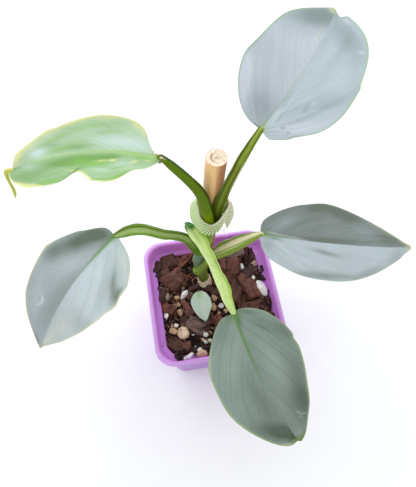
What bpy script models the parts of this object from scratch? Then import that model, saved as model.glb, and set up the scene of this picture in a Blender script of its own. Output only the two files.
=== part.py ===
"""Young silver-leaved climbing philodendron in a small square nursery pot.

Metres, +Z up, +Y away from the front of the plant. The origin is the middle of the pot's underside.
The plant was measured in millimetres, so sizes are written as millimetres times MM.
"""
import math
import random
from dataclasses import dataclass

import bmesh
import bpy
import numpy as np
from mathutils import Vector, noise

MM = 0.001
CLEAR = 0.3 * MM            # gap between pieces that rest on each other
UP = np.array((0.0, 0.0, 1.0))

# Pot: thin moulded plastic, square with round corners, a wider collar under the rim
POT_HEIGHT = 75 * MM
POT_RIM = 40 * MM           # half of the outer width at the rim
POT_FOOT = 31 * MM          # half of the outer width at the bottom
POT_WALL = 1.3 * MM
POT_FLOOR = 1.6 * MM
COLLAR_DEPTH = 12 * MM
COLLAR_STEP = 1.2 * MM
LEDGE_DEPTH = 8 * MM
LIP_WIDTH = 2.6 * MM
RIM_CORNER = 11.5 * MM
DRAIN_RADIUS = 3 * MM
DRAIN_OFFSET = 17 * MM

# Potting mix: bark chips, pumice and peat
SOIL_LEVEL = 63 * MM
SOIL_LUMPS = 1.6 * MM
MIX_SEED = 11
GRAIN_STEP = 6.4 * MM       # spacing of the small pieces, each moved off its place by up to a third

# Bamboo stake behind the stem
STAKE_FOOT = np.array((-3.8, 24.3, 12)) * MM
STAKE_TOP = np.array((2.2, 28.0, 178.5)) * MM
STAKE_RADIUS = 4.75 * MM
PITH_RADIUS = 1.5 * MM

# Stem: its middle line from the buried end to the fork of the two top stalks, with its nodes
STEM_ROUTE = np.array((
    (-1.0, 12.0, 36), (-2.0, 12.8, 52), (-3.0, 13.8, 64), (-5.2, 15.6, 76), (-6.4, 17.0, 89),
    (-5.4, 17.6, 101), (-3.6, 17.2, 113), (-2.4, 16.2, 123), (-2.1, 15.3, 136),
)) * MM
STEM_RADIUS = 3.5 * MM
NODE_HEIGHTS = (75 * MM, 92 * MM, 104 * MM, 117 * MM, 129 * MM)
NODE_SWELL = 0.5 * MM
SHEATH_HEIGHTS = (59 * MM, 70 * MM)
SHEATH_WALL = 1.0 * MM
SHEATH_LEAN = 1.6 * MM

# Green tape looped round the two top stalks and the stake
TIE_LEVELS = (135.0 * MM, 145.5 * MM)
TIE_LOW_HALF = (8.4 * MM, 11.2 * MM)
TIE_HIGH_HALF = (7.1 * MM, 10.9 * MM)
TIE_MIDDLE_Y = 22.0 * MM
TIE_SHIFT = (-1.4 * MM, 0.4 * MM)
TIE_THICK = 0.9 * MM


def clear_scene():
    for thing in list(bpy.data.objects):
        bpy.data.objects.remove(thing, do_unlink=True)


def look(name, colour, roughness):
    """A plain Principled finish."""
    material = bpy.data.materials.new(name)
    material.use_nodes = True
    shader = material.node_tree.nodes["Principled BSDF"]
    shader.inputs["Base Color"].default_value = (*colour, 1.0)
    shader.inputs["Roughness"].default_value = roughness
    shader.inputs["Metallic"].default_value = 0.0
    material.diffuse_color = (*colour, 1.0)
    return material


def solid(name, points, faces, material=None, sharp=40):
    """One closed object from points and faces, its faces turned outwards."""
    mesh = bpy.data.meshes.new(name)
    mesh.from_pydata([tuple(p) for p in points], [], faces)
    edit = bmesh.new()
    edit.from_mesh(mesh)
    bmesh.ops.recalc_face_normals(edit, faces=edit.faces)
    edit.to_mesh(mesh)
    edit.free()
    body = bpy.data.objects.new(name, mesh)
    bpy.context.scene.collection.objects.link(body)
    if material:
        mesh.materials.append(material)
    mesh.shade_smooth()
    mesh.set_sharp_from_angle(angle=math.radians(sharp))
    return body


def combine(body, others, operation, solver="EXACT"):
    """Join or cut a body with others, apply it, and remove the others."""
    group = bpy.data.collections.new(body.name + "_tools")
    bpy.context.scene.collection.children.link(group)
    for other in others:
        bpy.context.scene.collection.objects.unlink(other)
        group.objects.link(other)
    step = body.modifiers.new(operation.lower(), "BOOLEAN")
    step.operation = operation
    step.solver = solver
    step.operand_type = "COLLECTION"
    step.collection = group
    bpy.context.view_layer.update()
    evaluated = body.evaluated_get(bpy.context.evaluated_depsgraph_get())
    result = bpy.data.meshes.new_from_object(evaluated)
    body.modifiers.clear()
    body.data = result
    drop_scraps(result)
    for other in others:
        bpy.data.objects.remove(other, do_unlink=True)
    bpy.data.collections.remove(group)
    return body


def drop_scraps(mesh):
    """Split a mesh into triangles and keep its largest connected piece."""
    edit = bmesh.new()
    edit.from_mesh(mesh)
    bmesh.ops.triangulate(edit, faces=edit.faces)
    pieces = []
    left = set(edit.verts)
    while left:
        reached = [left.pop()]
        for vertex in reached:
            near = {edge.other_vert(vertex) for edge in vertex.link_edges} & left
            left -= near
            reached.extend(near)
        pieces.append(reached)
    pieces.sort(key=len)
    bmesh.ops.delete(edit, geom=[vertex for piece in pieces[:-1] for vertex in piece], context="VERTS")
    edit.to_mesh(mesh)
    edit.free()


def loft(rings):
    """Points and faces of a skin through rings of equal count, its two ends closed by fans."""
    count = len(rings[0])
    points = [p for ring in rings for p in ring]
    faces = []
    for k in range(len(rings) - 1):
        for i in range(count):
            j = (i + 1) % count
            faces.append((k * count + i, k * count + j, (k + 1) * count + j, (k + 1) * count + i))
    for start, ring in ((0, rings[0]), ((len(rings) - 1) * count, rings[-1])):
        middle = len(points)
        points.append(np.mean(ring, axis=0))
        for i in range(count):
            faces.append((start + i, start + (i + 1) % count, middle))
    return points, faces


def smooth_route(points, count):
    """Evenly spaced points on a smooth curve that runs through a route's own points."""
    ends = np.vstack((2 * points[0] - points[1], points, 2 * points[-1] - points[-2]))
    fine = []
    for a, b, c, d in zip(ends, ends[1:], ends[2:], ends[3:]):
        for t in np.linspace(0, 1, 12, endpoint=False):
            fine.append(0.5 * (2 * b + (c - a) * t + (2 * a - 5 * b + 4 * c - d) * t ** 2
                               + (3 * b - a - 3 * c + d) * t ** 3))
    fine = np.array(fine + [points[-1]])
    run = np.concatenate(([0], np.cumsum(np.linalg.norm(np.diff(fine, axis=0), axis=1))))
    wanted = np.linspace(0, run[-1], count)
    return np.column_stack([np.interp(wanted, run, fine[:, axis]) for axis in range(3)])


def unit(vector):
    return vector / np.linalg.norm(vector)


def directions(route):
    """The direction of a route at each of its points."""
    return [unit(step) for step in np.gradient(route, axis=0)]


# Round rods: the stake, the stem, and the plain holes that they stand in


def rod(route, radii, sides=12):
    """Rings round a route, with a radius for each of its points."""
    side = unit(np.cross(directions(route)[0], (0, 1, 0)))
    rings = []
    for point, along, radius in zip(route, directions(route), radii):
        side = unit(side - along * side.dot(along))
        other = np.cross(along, side)
        turns = np.arange(sides) * 2 * math.pi / sides
        rings.append(np.array([point + radius * (math.cos(a) * side + math.sin(a) * other) for a in turns]))
    return rings


def stake_rings(grow=0.0):
    """The stake's outside, with the low ring of a bamboo joint, grown by a clearance."""
    steps = (0, 0.02, 0.40, 0.42, 0.44, 0.98, 1)
    swell = (-0.6, 0, 0, 0.35, 0, 0, -0.35)
    route = np.array([STAKE_FOOT + (STAKE_TOP - STAKE_FOOT) * step for step in steps])
    return rod(route, [STAKE_RADIUS + grow + s * MM for s in swell], sides=14)


def make_stake():
    """Bamboo cane with a sawn top and a shallow hollow of soft pith."""
    down = unit(STAKE_FOOT - STAKE_TOP)
    hollow = rod(np.array([STAKE_TOP, STAKE_TOP + down * 1.5 * MM, STAKE_TOP + down * 2.5 * MM]),
                 [PITH_RADIUS * 1.3, PITH_RADIUS, PITH_RADIUS * 0.5], sides=14)
    return solid("bamboo_stake", *loft(stake_rings() + hollow), look("bamboo", (0.62, 0.42, 0.22), 0.6))


def stem_rings(grow=0.0):
    """The stem, a little thicker at each node and pointed at its buried end, grown by a clearance."""
    route = smooth_route(STEM_ROUTE, 21)
    radii = []
    for x, y, z in route:
        swell = sum(math.exp(-((z - node) / (2 * MM)) ** 2) for node in NODE_HEIGHTS)
        buried = min(1.0, 0.55 + (z - STEM_ROUTE[0][2]) / (40 * MM))
        radii.append(STEM_RADIUS * buried + NODE_SWELL * swell + grow)
    return rod(route, radii, sides=12)


def stem_room():
    """The room that the stem and its clearance take up."""
    return solid("stem_room", *loft(stem_rings(CLEAR)))


def make_stem():
    return solid("stem", *loft(stem_rings()), look("stem_green", (0.24, 0.36, 0.16), 0.45))


# Square nursery pot


def square_ring(half, corner, height, steps=5):
    """A level square ring with round corners."""
    ring = []
    for quarter in range(4):
        for step in range(steps + 1):
            angle = math.radians(90 * (quarter + step / steps))
            centre = math.radians(90 * quarter + 45)
            reach = (half - corner) * math.sqrt(2)
            ring.append((reach * math.cos(centre) + corner * math.cos(angle),
                         reach * math.sin(centre) + corner * math.sin(angle), height))
    return np.array(ring)


def wall_half(height):
    """Half of the pot's outer width below the collar."""
    top = POT_RIM - LIP_WIDTH - COLLAR_STEP
    return POT_FOOT + (top - POT_FOOT) * height / (POT_HEIGHT - COLLAR_DEPTH)


def inner_half(height):
    return wall_half(height) - POT_WALL


def corner_at(half):
    return RIM_CORNER * half / POT_RIM


def make_pot():
    collar_foot = POT_HEIGHT - COLLAR_DEPTH
    collar = POT_RIM - LIP_WIDTH
    ledge = POT_HEIGHT - LEDGE_DEPTH
    levels = (
        (POT_FOOT - 1.2 * MM, 0), (POT_FOOT, 1.2 * MM), (wall_half(collar_foot), collar_foot),
        (collar, collar_foot + 1.0 * MM), (collar + 0.4 * MM, POT_HEIGHT - 2.4 * MM),
        (POT_RIM - 0.5 * MM, POT_HEIGHT - 2.2 * MM), (POT_RIM, POT_HEIGHT - 1.2 * MM),
        (POT_RIM - 0.6 * MM, POT_HEIGHT), (POT_RIM - 1.9 * MM, POT_HEIGHT),
        (collar - 0.4 * MM, POT_HEIGHT - 1.4 * MM), (collar - POT_WALL, ledge),
        (inner_half(ledge - 1 * MM), ledge - 1 * MM), (inner_half(2 * POT_FLOOR), 2 * POT_FLOOR),
        (inner_half(POT_FLOOR) - 1.0 * MM, POT_FLOOR),
    )
    rings = [square_ring(half, corner_at(half), height) for half, height in levels]
    plastic = look("lilac_plastic", (0.47, 0.22, 0.62), 0.35)
    pot = solid("pot", *loft(rings), plastic, sharp=50)
    drains = []
    for x in (-DRAIN_OFFSET, DRAIN_OFFSET):
        for y in (-DRAIN_OFFSET, DRAIN_OFFSET):
            upright = np.array(((x, y, -POT_FLOOR), (x, y, 2 * POT_FLOOR)))
            drains.append(solid("drain", *loft(rod(upright, (DRAIN_RADIUS, DRAIN_RADIUS)))))
    return combine(pot, drains, "DIFFERENCE")


# Dry sheath at the stem's foot


def sheath_route():
    """The stretch of the stem's middle line inside the sheath."""
    route = smooth_route(STEM_ROUTE, 121)
    low, high = SHEATH_HEIGHTS
    return np.array([p for p in route if low <= p[2] <= high])[::2]


def sheath_rings(grow=0.0):
    """The outside of the dry sheath: loose, wrinkled and pulled forward at the bottom."""
    route = sheath_route()
    radii = np.linspace(STEM_RADIUS + 2.0 * SHEATH_WALL, STEM_RADIUS + CLEAR + SHEATH_WALL, len(route))
    rings = rod(route, radii + grow, sides=14)
    for k, ring in enumerate(rings):
        middle = route[k]
        ring -= np.array((0, SHEATH_LEAN * (1 - k / len(route)), 0))
        for i in range(len(ring)):
            wrinkle = 0.0 if grow else 0.35 * MM * math.sin(2.7 * i + 0.6 * k)
            ring[i] = ring[i] - unit(ring[i] - middle) * max(wrinkle, 0)
    return rings


def make_sheath():
    """Papery sheath: its torn top edge has a high and a low side."""
    outside = sheath_rings()
    for i in range(len(outside[-1])):
        outside[-1][i][2] += 0.9 * MM * math.sin(1.9 * i) - 0.3 * MM
    sheath = solid("base_sheath", *loft(outside), look("dry_sheath", (0.60, 0.46, 0.30), 0.8))
    return combine(sheath, [stem_room()], "DIFFERENCE")


# Leaf blades


@dataclass
class Half:
    """One half of a blade's outline: its width in millimetres, the rest in blade lengths and widths."""
    width: float
    back: float             # how far the base reaches back behind the heel
    shoulder: float         # how high the curve starts at the heel
    belly: float            # where the half is widest
    swell_in: float         # length of the curve's handles before and after the widest place
    swell_out: float
    point_back: float       # handle at the tip, along and across
    point_out: float


@dataclass
class Blade:
    """A blade hung on its midrib, which arches from the heel to the tip. Millimetres and degrees."""
    name: str
    colour: tuple
    heel: tuple
    tip: tuple
    arch: float             # rise of the midrib's middle over its chord
    sweep: float            # the midrib's bend to the left
    bank: float             # tilt of the whole blade, left half up
    fold: float             # how steeply both halves rise from the midrib
    cup: float              # how much steeper they are 60 mm out
    left: Half
    right: Half
    neck: float = 1.5       # half width where the blade starts
    wave: tuple = (0, 0, 0, 0)      # height in mm on the left and right margins, waves a side, phase
    nicks: tuple = ()       # bites out of the margin: side, place from heel to tip, width, depth in mm
    tip_lift: float = 0.0   # how far the tip curls up
    rows: int = 18


BLADES = (
    Blade("leaf_upper_right", (0.50, 0.60, 0.62), (22, 30.7, 190), (76.2, 99, 187.6), 2.8, -3.3, 3.5, 14, 6,
          Half(26, 0.07, 0.40, 0.30, 0.15, 0.42, 0.05, 0.45),
          Half(26.5, 0.07, 0.36, 0.30, 0.20, 0.46, 0.09, 0.51),
          wave=(0.5, 0.6, 2.5, 0.4), nicks=((1, 0.985, 0.018, 1.6), (-1, 0.94, 0.02, 1.4))),
    Blade("leaf_right", (0.38, 0.45, 0.45), (29.7, 17.7, 112), (119.7, 1.3, 98.3), 2, -3.5, 3, 17, 8,
          Half(22.5, 0.07, 0.45, 0.41, 0.23, 0.15, 0.12, 0.30),
          Half(26.5, 0.03, 0.46, 0.38, 0.27, 0.21, 0.13, 0.32),
          neck=1.3, wave=(0.3, 0.3, 2, 1.0)),
    Blade("leaf_front", (0.25, 0.33, 0.29), (5.3, -25.8, 112), (29.3, -90.9, 84.3), 7, -3.5, 3.5, 15, 8.5,
          Half(23.5, 0.08, 0.25, 0.31, 0.22, 0.31, -0.06, 0.20),
          Half(26, 0.05, 0.20, 0.36, 0.20, 0.32, 0.0, 0.22),
          wave=(0.5, 0.5, 3, 0.2), tip_lift=2.0),
    Blade("leaf_left", (0.45, 0.52, 0.51), (-51.7, 25.7, 122), (-100.2, -20.2, 90.1), 8.3, 0, -7, 14, 8,
          Half(27, 0.03, 0.28, 0.36, 0.25, 0.24, 0.09, 0.24),
          Half(23, 0.07, 0.24, 0.36, 0.16, 0.31, 0.02, 0.32),
          neck=1.7, wave=(0.9, 0.3, 3.5, 2.2), nicks=((-1, 0.58, 0.03, 0.8),), tip_lift=1.0),
    Blade("leaf_upper_left", (0.42, 0.58, 0.22), (-22.2, 25.5, 186), (-88.2, 39.5, 171), 3.2, -4.5,
          0, 10, 16,
          Half(17.2, -0.01, 0.13, 0.33, 0.22, 0.39, 0.0, 0.95),
          Half(17, -0.09, -0.08, 0.33, 0.24, 0.29, 0.07, 0.65),
          neck=1.9, wave=(1.4, 0.5, 3, 0.9),
          nicks=((1, 0.50, 0.045, 3.6), (1, 0.58, 0.05, 1.5), (1, 0.38, 0.055, -2.0), (1, 0.76, 0.09, -0.9),
                 (-1, 0.15, 0.05, -0.9)), rows=24),
    Blade("small_leaf", (0.42, 0.58, 0.44), (-7.7, 3.9, 71), (-7.2, -15.4, 68.5), 1, 0, 0, 14, 10,
          Half(6, 0.06, 0.40, 0.38, 0.22, 0.22, 0.08, 0.34),
          Half(6.8, 0.06, 0.42, 0.39, 0.22, 0.23, 0.05, 0.37),
          neck=0.8, rows=10),
)
BLADE_BY_NAME = {blade.name: blade for blade in BLADES}
BLADE_THICK = 0.8 * MM
MARGIN_THICK = 0.6 * MM
RIB_DEPTH = 1.0 * MM
ACROSS = (-1, -0.8, -0.58, -0.36, -0.15, 0, 0.15, 0.36, 0.58, 0.8, 1)


def bezier(a, b, c, d, t):
    return ((1 - t) ** 3)[:, None] * a + (3 * t * (1 - t) ** 2)[:, None] * b \
        + (3 * t ** 2 * (1 - t))[:, None] * c + (t ** 3)[:, None] * d


def outline(half, length, rows):
    """One margin from heel to tip, evenly spaced: distance along in lengths, half width in mm."""
    t = np.linspace(0, 1, 40)
    corners = np.array((
        (0, 0), (-half.back, half.shoulder), (half.belly - half.swell_in, 1), (half.belly, 1),
        (half.belly + half.swell_out, 1), (1 - half.point_back, half.point_out), (1, 0)))
    curve = np.vstack((bezier(*corners[0:4], t), bezier(*corners[3:7], t)[1:]))
    curve[:, 1] *= half.width
    step = np.hypot(np.diff(curve[:, 0]) * length, np.diff(curve[:, 1]))
    run = np.concatenate(([0], np.cumsum(step)))
    wanted = np.linspace(0, run[-1], rows)
    return np.interp(wanted, run, curve[:, 0]), np.interp(wanted, run, curve[:, 1])


def blade_frame(blade, along):
    """Midrib point, and the blade's forward, left and upward directions, at a share of its length."""
    heel, tip = np.array(blade.heel), np.array(blade.tip)
    chord = unit(tip - heel)
    lift = unit(UP - chord * chord[2])
    bend = (heel + tip) / 2 + 2 * blade.arch * lift + 2 * blade.sweep * np.cross(lift, chord)
    inside = max(along, 0.0)
    point = (1 - inside) ** 2 * heel + 2 * inside * (1 - inside) * bend + inside ** 2 * tip
    point = point + min(along, 0.0) * 2 * (bend - heel)
    forward = unit((1 - inside) * (bend - heel) + inside * (tip - bend))
    upward = unit(UP - forward * forward[2])
    left = np.cross(upward, forward)
    bank = math.radians(blade.bank)
    return (point, forward, left * math.cos(bank) + upward * math.sin(bank),
            upward * math.cos(bank) - left * math.sin(bank))


def blade_point(blade, along, out, row, share):
    """A point of the blade's middle surface and its upward normal. out is positive to the left."""
    point, forward, left, upward = blade_frame(blade, along)
    slope = math.radians(blade.fold + blade.cup * abs(out) / 60)
    side = math.copysign(1.0, out)
    outward = side * left * math.cos(slope) + upward * math.sin(slope)
    normal = upward * math.cos(slope) - side * left * math.sin(slope)
    height = blade.wave[0] if out > 0 else blade.wave[1]
    ripple = height * share ** 2 * math.sin(math.pi * row) \
        * math.sin(2 * math.pi * blade.wave[2] * row + blade.wave[3] + (0 if out > 0 else 1.3))
    curl = blade.tip_lift * max(0.0, (along - 0.8) / 0.2) ** 2
    return point + abs(out) * outward + normal * (ripple + curl), normal


def blade_solid(blade, material=None, grow=0.0):
    """Upper and lower faces split into the same triangles, joined by a thin rim."""
    rows = blade.rows
    length = np.linalg.norm(np.array(blade.tip) - np.array(blade.heel))
    margins = {1: outline(blade.left, length, rows), -1: outline(blade.right, length, rows)}
    top, bottom = [], []
    for k in range(rows):
        row = k / (rows - 1)
        rib = row * (0.25 + 0.75 * row)
        for across in ACROSS:
            side = 1 if across > 0 else -1
            edge_along, edge_out = margins[side][0][k], margins[side][1][k]
            for nick_side, place, width, depth in blade.nicks:
                if nick_side == side:
                    edge_out -= depth * math.exp(-((row - place) / width) ** 2)
            edge_out = max(edge_out, blade.neck * (1 - row) ** 4, 0.5) + grow / MM
            share = abs(across)
            along = rib + (edge_along - rib) * share ** 1.5
            if k in (0, rows - 1):
                along += (1 if k else -1) * grow / MM / length
            point, normal = blade_point(blade, along, side * share * edge_out, row, share)
            thick = (BLADE_THICK + (MARGIN_THICK - BLADE_THICK) * share) / 2 + grow
            ridge = RIB_DEPTH * (1 - 0.8 * row) if share == 0 else 0.0
            top.append(point * MM + normal * (thick - 0.3 * ridge))
            bottom.append(point * MM - normal * (thick + 0.7 * ridge))
    columns = len(ACROSS)
    under = rows * columns
    faces = []
    for k in range(rows - 1):
        for i in range(columns - 1):
            a, b = k * columns + i, k * columns + i + 1
            c, d = b + columns, a + columns
            halves = ((a, b, c), (a, c, d)) if i >= columns // 2 else ((a, b, d), (b, c, d))
            for half in halves:
                faces.append(half)
                faces.append(tuple(under + p for p in reversed(half)))
    border = [k * columns for k in range(rows)]
    border += [(rows - 1) * columns + i for i in range(1, columns)]
    border += [k * columns + columns - 1 for k in range(rows - 2, -1, -1)]
    border += [i for i in range(columns - 2, 0, -1)]
    for here, following in zip(border, border[1:] + border[:1]):
        faces.append((here, following, under + following))
        faces.append((here, under + following, under + here))
    return solid(blade.name, top + bottom, faces, material)


DRIP_ROUTE = np.array((
    (-85.5, 38.7, 172.0), (-88.6, 40.2, 171.4), (-90.8, 40.4, 170.8), (-91.2, 38.2, 169.3),
    (-90.4, 35.4, 167), (-89.6, 32.8, 165), (-89.2, 30.9, 163),
)) * MM
DRIP_RADIUS = 1.1 * MM
DRIP_STEPS = 12


def drip_tip():
    """The rolled, hooked point of the youngest leaf, thin in its last quarter."""
    radii = [DRIP_RADIUS * (0.75 + 0.25 * math.sin(3 * k)) for k in range(DRIP_STEPS)]
    for k in range(3 * DRIP_STEPS // 4, DRIP_STEPS):
        radii[k] *= 0.55
    return solid("drip_tip", *loft(rod(smooth_route(DRIP_ROUTE, DRIP_STEPS), radii, sides=6)))


SMALL_STALK_ROUTE = np.array(((-7.8, 0.5, 70.2), (-7.8, 3.4, 69.6), (-7.6, 5.2, 67), (-7.2, 6.0, 62),
                              (-6.6, 6.4, 56))) * MM
SMALL_STALK_RADIUS = 0.75 * MM


def small_stalk(grow=0.0):
    route = smooth_route(SMALL_STALK_ROUTE, 9)
    return solid("small_stalk", *loft(rod(route, [SMALL_STALK_RADIUS + grow] * 9, sides=8)))


def make_blades():
    for blade in BLADES:
        body = blade_solid(blade, look(blade.name + "_face", blade.colour, 0.45))
        if blade.name == "leaf_upper_left":
            combine(body, [drip_tip()], "UNION", "MANIFOLD")
        if blade.name == "small_leaf":
            combine(body, [small_stalk()], "UNION", "MANIFOLD")


# Leaf stalks


@dataclass
class Stalk:
    """A leaf stalk: its route from the stem towards its blade, and half its width along it."""
    name: str
    blade: str
    colour: tuple
    route: tuple
    half_widths: tuple
    wing: float             # how far the two edges of the groove stand out, in half widths
    wing_wave: float = 0.0


STALKS = (
    Stalk("stalk_upper_left", "leaf_upper_left", (0.16, 0.27, 0.05),
          ((-2.1, 15.0, 136.4), (-2.2, 14.9, 141), (-2.6, 16.1, 149), (-3.7, 17.9, 157), (-6.7, 19.0, 166),
           (-11.1, 19.9, 175), (-16.8, 21.6, 182)),
          (3.4, 3.3, 3.2, 3.0, 2.6, 2.2, 1.9, 1.8), 0.0),
    Stalk("stalk_upper_right", "leaf_upper_right", (0.24, 0.34, 0.08),
          ((-0.2, 19.0, 128), (1.6, 19.0, 135), (3.2, 18.6, 142), (4.4, 18.7, 151), (6.8, 19.8, 163),
           (9.4, 21.6, 174), (13.3, 24.3, 182), (17.7, 27.0, 187)),
          (2.2, 2.6, 2.7, 2.7, 2.6, 2.5, 2.3, 1.9, 1.5), 0.30, 0.5),
    Stalk("stalk_right", "leaf_right", (0.36, 0.47, 0.20),
          ((-6.0, 16.0, 84), (-5.4, 13.2, 91), (-3.2, 12.6, 99), (2.8, 13.2, 104), (7.9, 14.1, 106.5),
           (15.5, 15.6, 109.5), (22.1, 16.8, 111.5)),
          (2.6, 2.9, 3.1, 3.2, 3.3, 3.2, 2.6, 1.4), 0.35),
    Stalk("stalk_left", "leaf_left", (0.21, 0.33, 0.10),
          ((-4.0, 17.0, 98), (-8.0, 17.4, 106), (-11.1, 18.6, 112.5), (-16.0, 19.8, 118.5),
           (-22.8, 20.5, 123.7), (-29.6, 22.0, 127.2), (-37.0, 24.2, 128), (-43.5, 25.3, 126)),
          (2.9, 2.9, 2.9, 2.8, 2.8, 2.9, 3.0, 2.8, 1.7), 0.25),
    Stalk("stalk_front", "leaf_front", (0.40, 0.55, 0.15),
          ((-4.0, 18.6, 114), (-8.0, 21.4, 120), (-10.2, 21.6, 127), (-9.4, 18.2, 131.4),
           (-7.4, 12.6, 132), (-5.2, 7.4, 131), (-3.4, 1.4, 128.5), (-1.7, -4.4, 125.5),
           (1.0, -10.9, 121), (3.0, -17.3, 116.6)),
          (2.5, 2.5, 2.4, 2.3, 2.3, 2.3, 2.4, 2.9, 3.4, 2.6, 1.5), 0.45, 0.5),
)


def stalk_rings(stalk, count=17, grow=0.0):
    """Round below, with a shallow groove between two raised edges on the side that faces the stem's top."""
    heel, forward = blade_frame(BLADE_BY_NAME[stalk.blade], 0)[:2]
    arrival = [heel - forward * 2.5, heel - forward * 1.3 * CLEAR / MM]
    route = smooth_route(np.vstack((stalk.route, arrival)) * MM, count)
    places = np.linspace(0, 1, len(stalk.half_widths))
    inward = route[0] - route[-1]
    inward[2] = 0
    rings = []
    for k, (point, along) in enumerate(zip(route, directions(route))):
        share = k / (count - 1)
        half = float(np.interp(share, places, stalk.half_widths)) * MM
        facing = UP + 0.6 * unit(inward)
        facing = unit(facing - along * facing.dot(along))
        side = np.cross(along, facing)
        ring = []
        for step in range(12):
            angle = math.radians(30 * step)
            across = half * math.cos(angle)
            rise = 0.82 * half * math.sin(angle)
            if step in (2, 4):
                edge = stalk.wing * (1 + stalk.wing_wave * math.sin(2.4 * k + step))
                fade = math.sin(math.pi * min(1.0, 0.08 + share * 0.95))
                across *= 1 + 0.9 * edge * fade
                rise *= 1 + 0.5 * edge * fade
            if step == 3:
                rise *= 1 - 0.9 * stalk.wing
            ring.append(point + (across + math.copysign(grow, across)) * side
                        + (rise + math.copysign(grow, rise)) * facing)
        rings.append(np.array(ring))
    return rings


def stalk_room(stalk):
    return solid(stalk.name + "_room", *loft(stalk_rings(stalk, grow=CLEAR)))


def make_stalks():
    """The five stalks. Each one's foot is cut back where it clasps the stem or an older stalk."""
    by_name = {stalk.name: stalk for stalk in STALKS}
    clasped = {"stalk_upper_right": ("stalk_upper_left",), "stalk_front": ("stalk_left",)}
    for stalk in STALKS:
        body = solid(stalk.name, *loft(stalk_rings(stalk)), look(stalk.name + "_green", stalk.colour, 0.4))
        rooms = [stalk_room(by_name[name]) for name in clasped.get(stalk.name, ())]
        rooms.append(blade_solid(BLADE_BY_NAME[stalk.blade], grow=CLEAR))
        combine(body, rooms + [stem_room()], "DIFFERENCE")


# Tie


def tie_ring(share, inside):
    """One edge of the loop: a rounded oval, wider at the bottom than at the top."""
    low, high = np.array(TIE_LOW_HALF), np.array(TIE_HIGH_HALF)
    half = low + (high - low) * share + (0 if inside else TIE_THICK)
    middle = TIE_SHIFT[0] + (TIE_SHIFT[1] - TIE_SHIFT[0]) * share
    ring = []
    for step in range(28):
        angle = 2 * math.pi * step / 28
        c, s = math.cos(angle), math.sin(angle)
        ring.append((middle + half[0] * math.copysign(abs(c) ** 0.78, c),
                     TIE_MIDDLE_Y + half[1] * math.copysign(abs(s) ** 0.78, s),
                     TIE_LEVELS[0] + (TIE_LEVELS[1] - TIE_LEVELS[0]) * share))
    return np.array(ring)


def make_tie():
    """A closed band of tape with its free pointed end standing off on the right."""
    rings = [tie_ring(0, False), tie_ring(0.5, False), tie_ring(1, False),
             tie_ring(1, True), tie_ring(0.5, True), tie_ring(0, True)]
    points = [p for ring in rings for p in ring]
    count = len(rings[0])
    faces = []
    for k in range(len(rings)):
        for i in range(count):
            j = (i + 1) % count
            following = (k + 1) % len(rings)
            faces.append((k * count + i, k * count + j, following * count + j, following * count + i))
    tie = solid("tie_tape", points, faces, look("tie_green", (0.50, 0.60, 0.38), 0.7))
    tail = np.array(((6.9, 24.2, 144.6), (8.6, 26.2, 143.8), (11.4, 25.6, 143), (12.9, 21.4, 135.5),
                     (9.8, 17.6, 127.5), (8.6, 20.4, 135), (7.4, 22.0, 139))) * MM
    sheet = unit(np.cross(tail[2] - tail[0], tail[4] - tail[0]))
    flap = [p + sheet * TIE_THICK / 2 for p in tail] + [p - sheet * TIE_THICK / 2 for p in tail]
    count = len(tail)
    faces = [(0, i, i + 1) for i in range(1, count - 1)]
    faces += [(count, count + i + 1, count + i) for i in range(1, count - 1)]
    for i in range(count):
        j = (i + 1) % count
        faces += [(i, count + j, j), (i, count + i, count + j)]
    return combine(tie, [solid("tie_tail", flap, faces)], "UNION")


# Potting mix


def mix_body():
    """The packed body of the mix, with a lumpy top, just clear of the pot's walls and floor."""
    rings = []
    for height in (POT_FLOOR + CLEAR, 2 * POT_FLOOR + CLEAR, SOIL_LEVEL):
        half = inner_half(height) - 2 * CLEAR - (1.2 * MM if height < 2 * POT_FLOOR else 0)
        rings.append(square_ring(half, corner_at(half), height))
    for share in (0.86, 0.68, 0.5, 0.32, 0.15):
        half = (inner_half(SOIL_LEVEL) - 2 * CLEAR) * share
        ring = square_ring(half, corner_at(half), SOIL_LEVEL)
        for point in ring:
            point[2] += SOIL_LUMPS * noise.noise(Vector(point) * 140)
        rings.append(ring)
    return solid("potting_mix", *loft(rings), look("bark_and_pumice", (0.16, 0.09, 0.06), 0.85), sharp=25)


def chip(draw, middle, size):
    """A broken flake of bark: a box with uneven corners, turned and tilted."""
    turn = draw.uniform(0, math.pi)
    lean = draw.uniform(-0.45, 0.45)
    roll = draw.uniform(-0.35, 0.35)
    edit = bmesh.new()
    for x in (-0.5, 0.5):
        for y in (-0.5, 0.5):
            for z in (-0.5, 0.5):
                edit.verts.new([draw.uniform(0.72, 1.12) * part * s for part, s in zip((x, y, z), size)])
    hull = bmesh.ops.convex_hull(edit, input=edit.verts)
    bmesh.ops.delete(edit, geom=hull["geom_interior"] + hull["geom_unused"], context="VERTS")
    return place(edit, "chip", middle, (roll, lean, turn))


def pebble(draw, middle, size):
    """A rounded grain of pumice."""
    edit = bmesh.new()
    bmesh.ops.create_icosphere(edit, subdivisions=2 if max(size) > 7 * MM else 1, radius=0.5)
    for vertex in edit.verts:
        stretch = draw.uniform(0.88, 1.06)
        vertex.co = Vector([c * s * stretch for c, s in zip(vertex.co, size)])
    turns = (draw.uniform(-0.3, 0.3), draw.uniform(-0.3, 0.3), draw.uniform(0, 3))
    return place(edit, "pebble", middle, turns)


def place(edit, name, middle, turns):
    """Set a chip or pebble down in the mix, split into triangles, its faces turned outwards."""
    bmesh.ops.triangulate(edit, faces=edit.faces)
    bmesh.ops.recalc_face_normals(edit, faces=edit.faces)
    mesh = bpy.data.meshes.new(name)
    edit.to_mesh(mesh)
    edit.free()
    body = bpy.data.objects.new(name, mesh)
    body.location = middle
    body.rotation_euler = turns
    bpy.context.scene.collection.objects.link(body)
    return body


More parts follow.
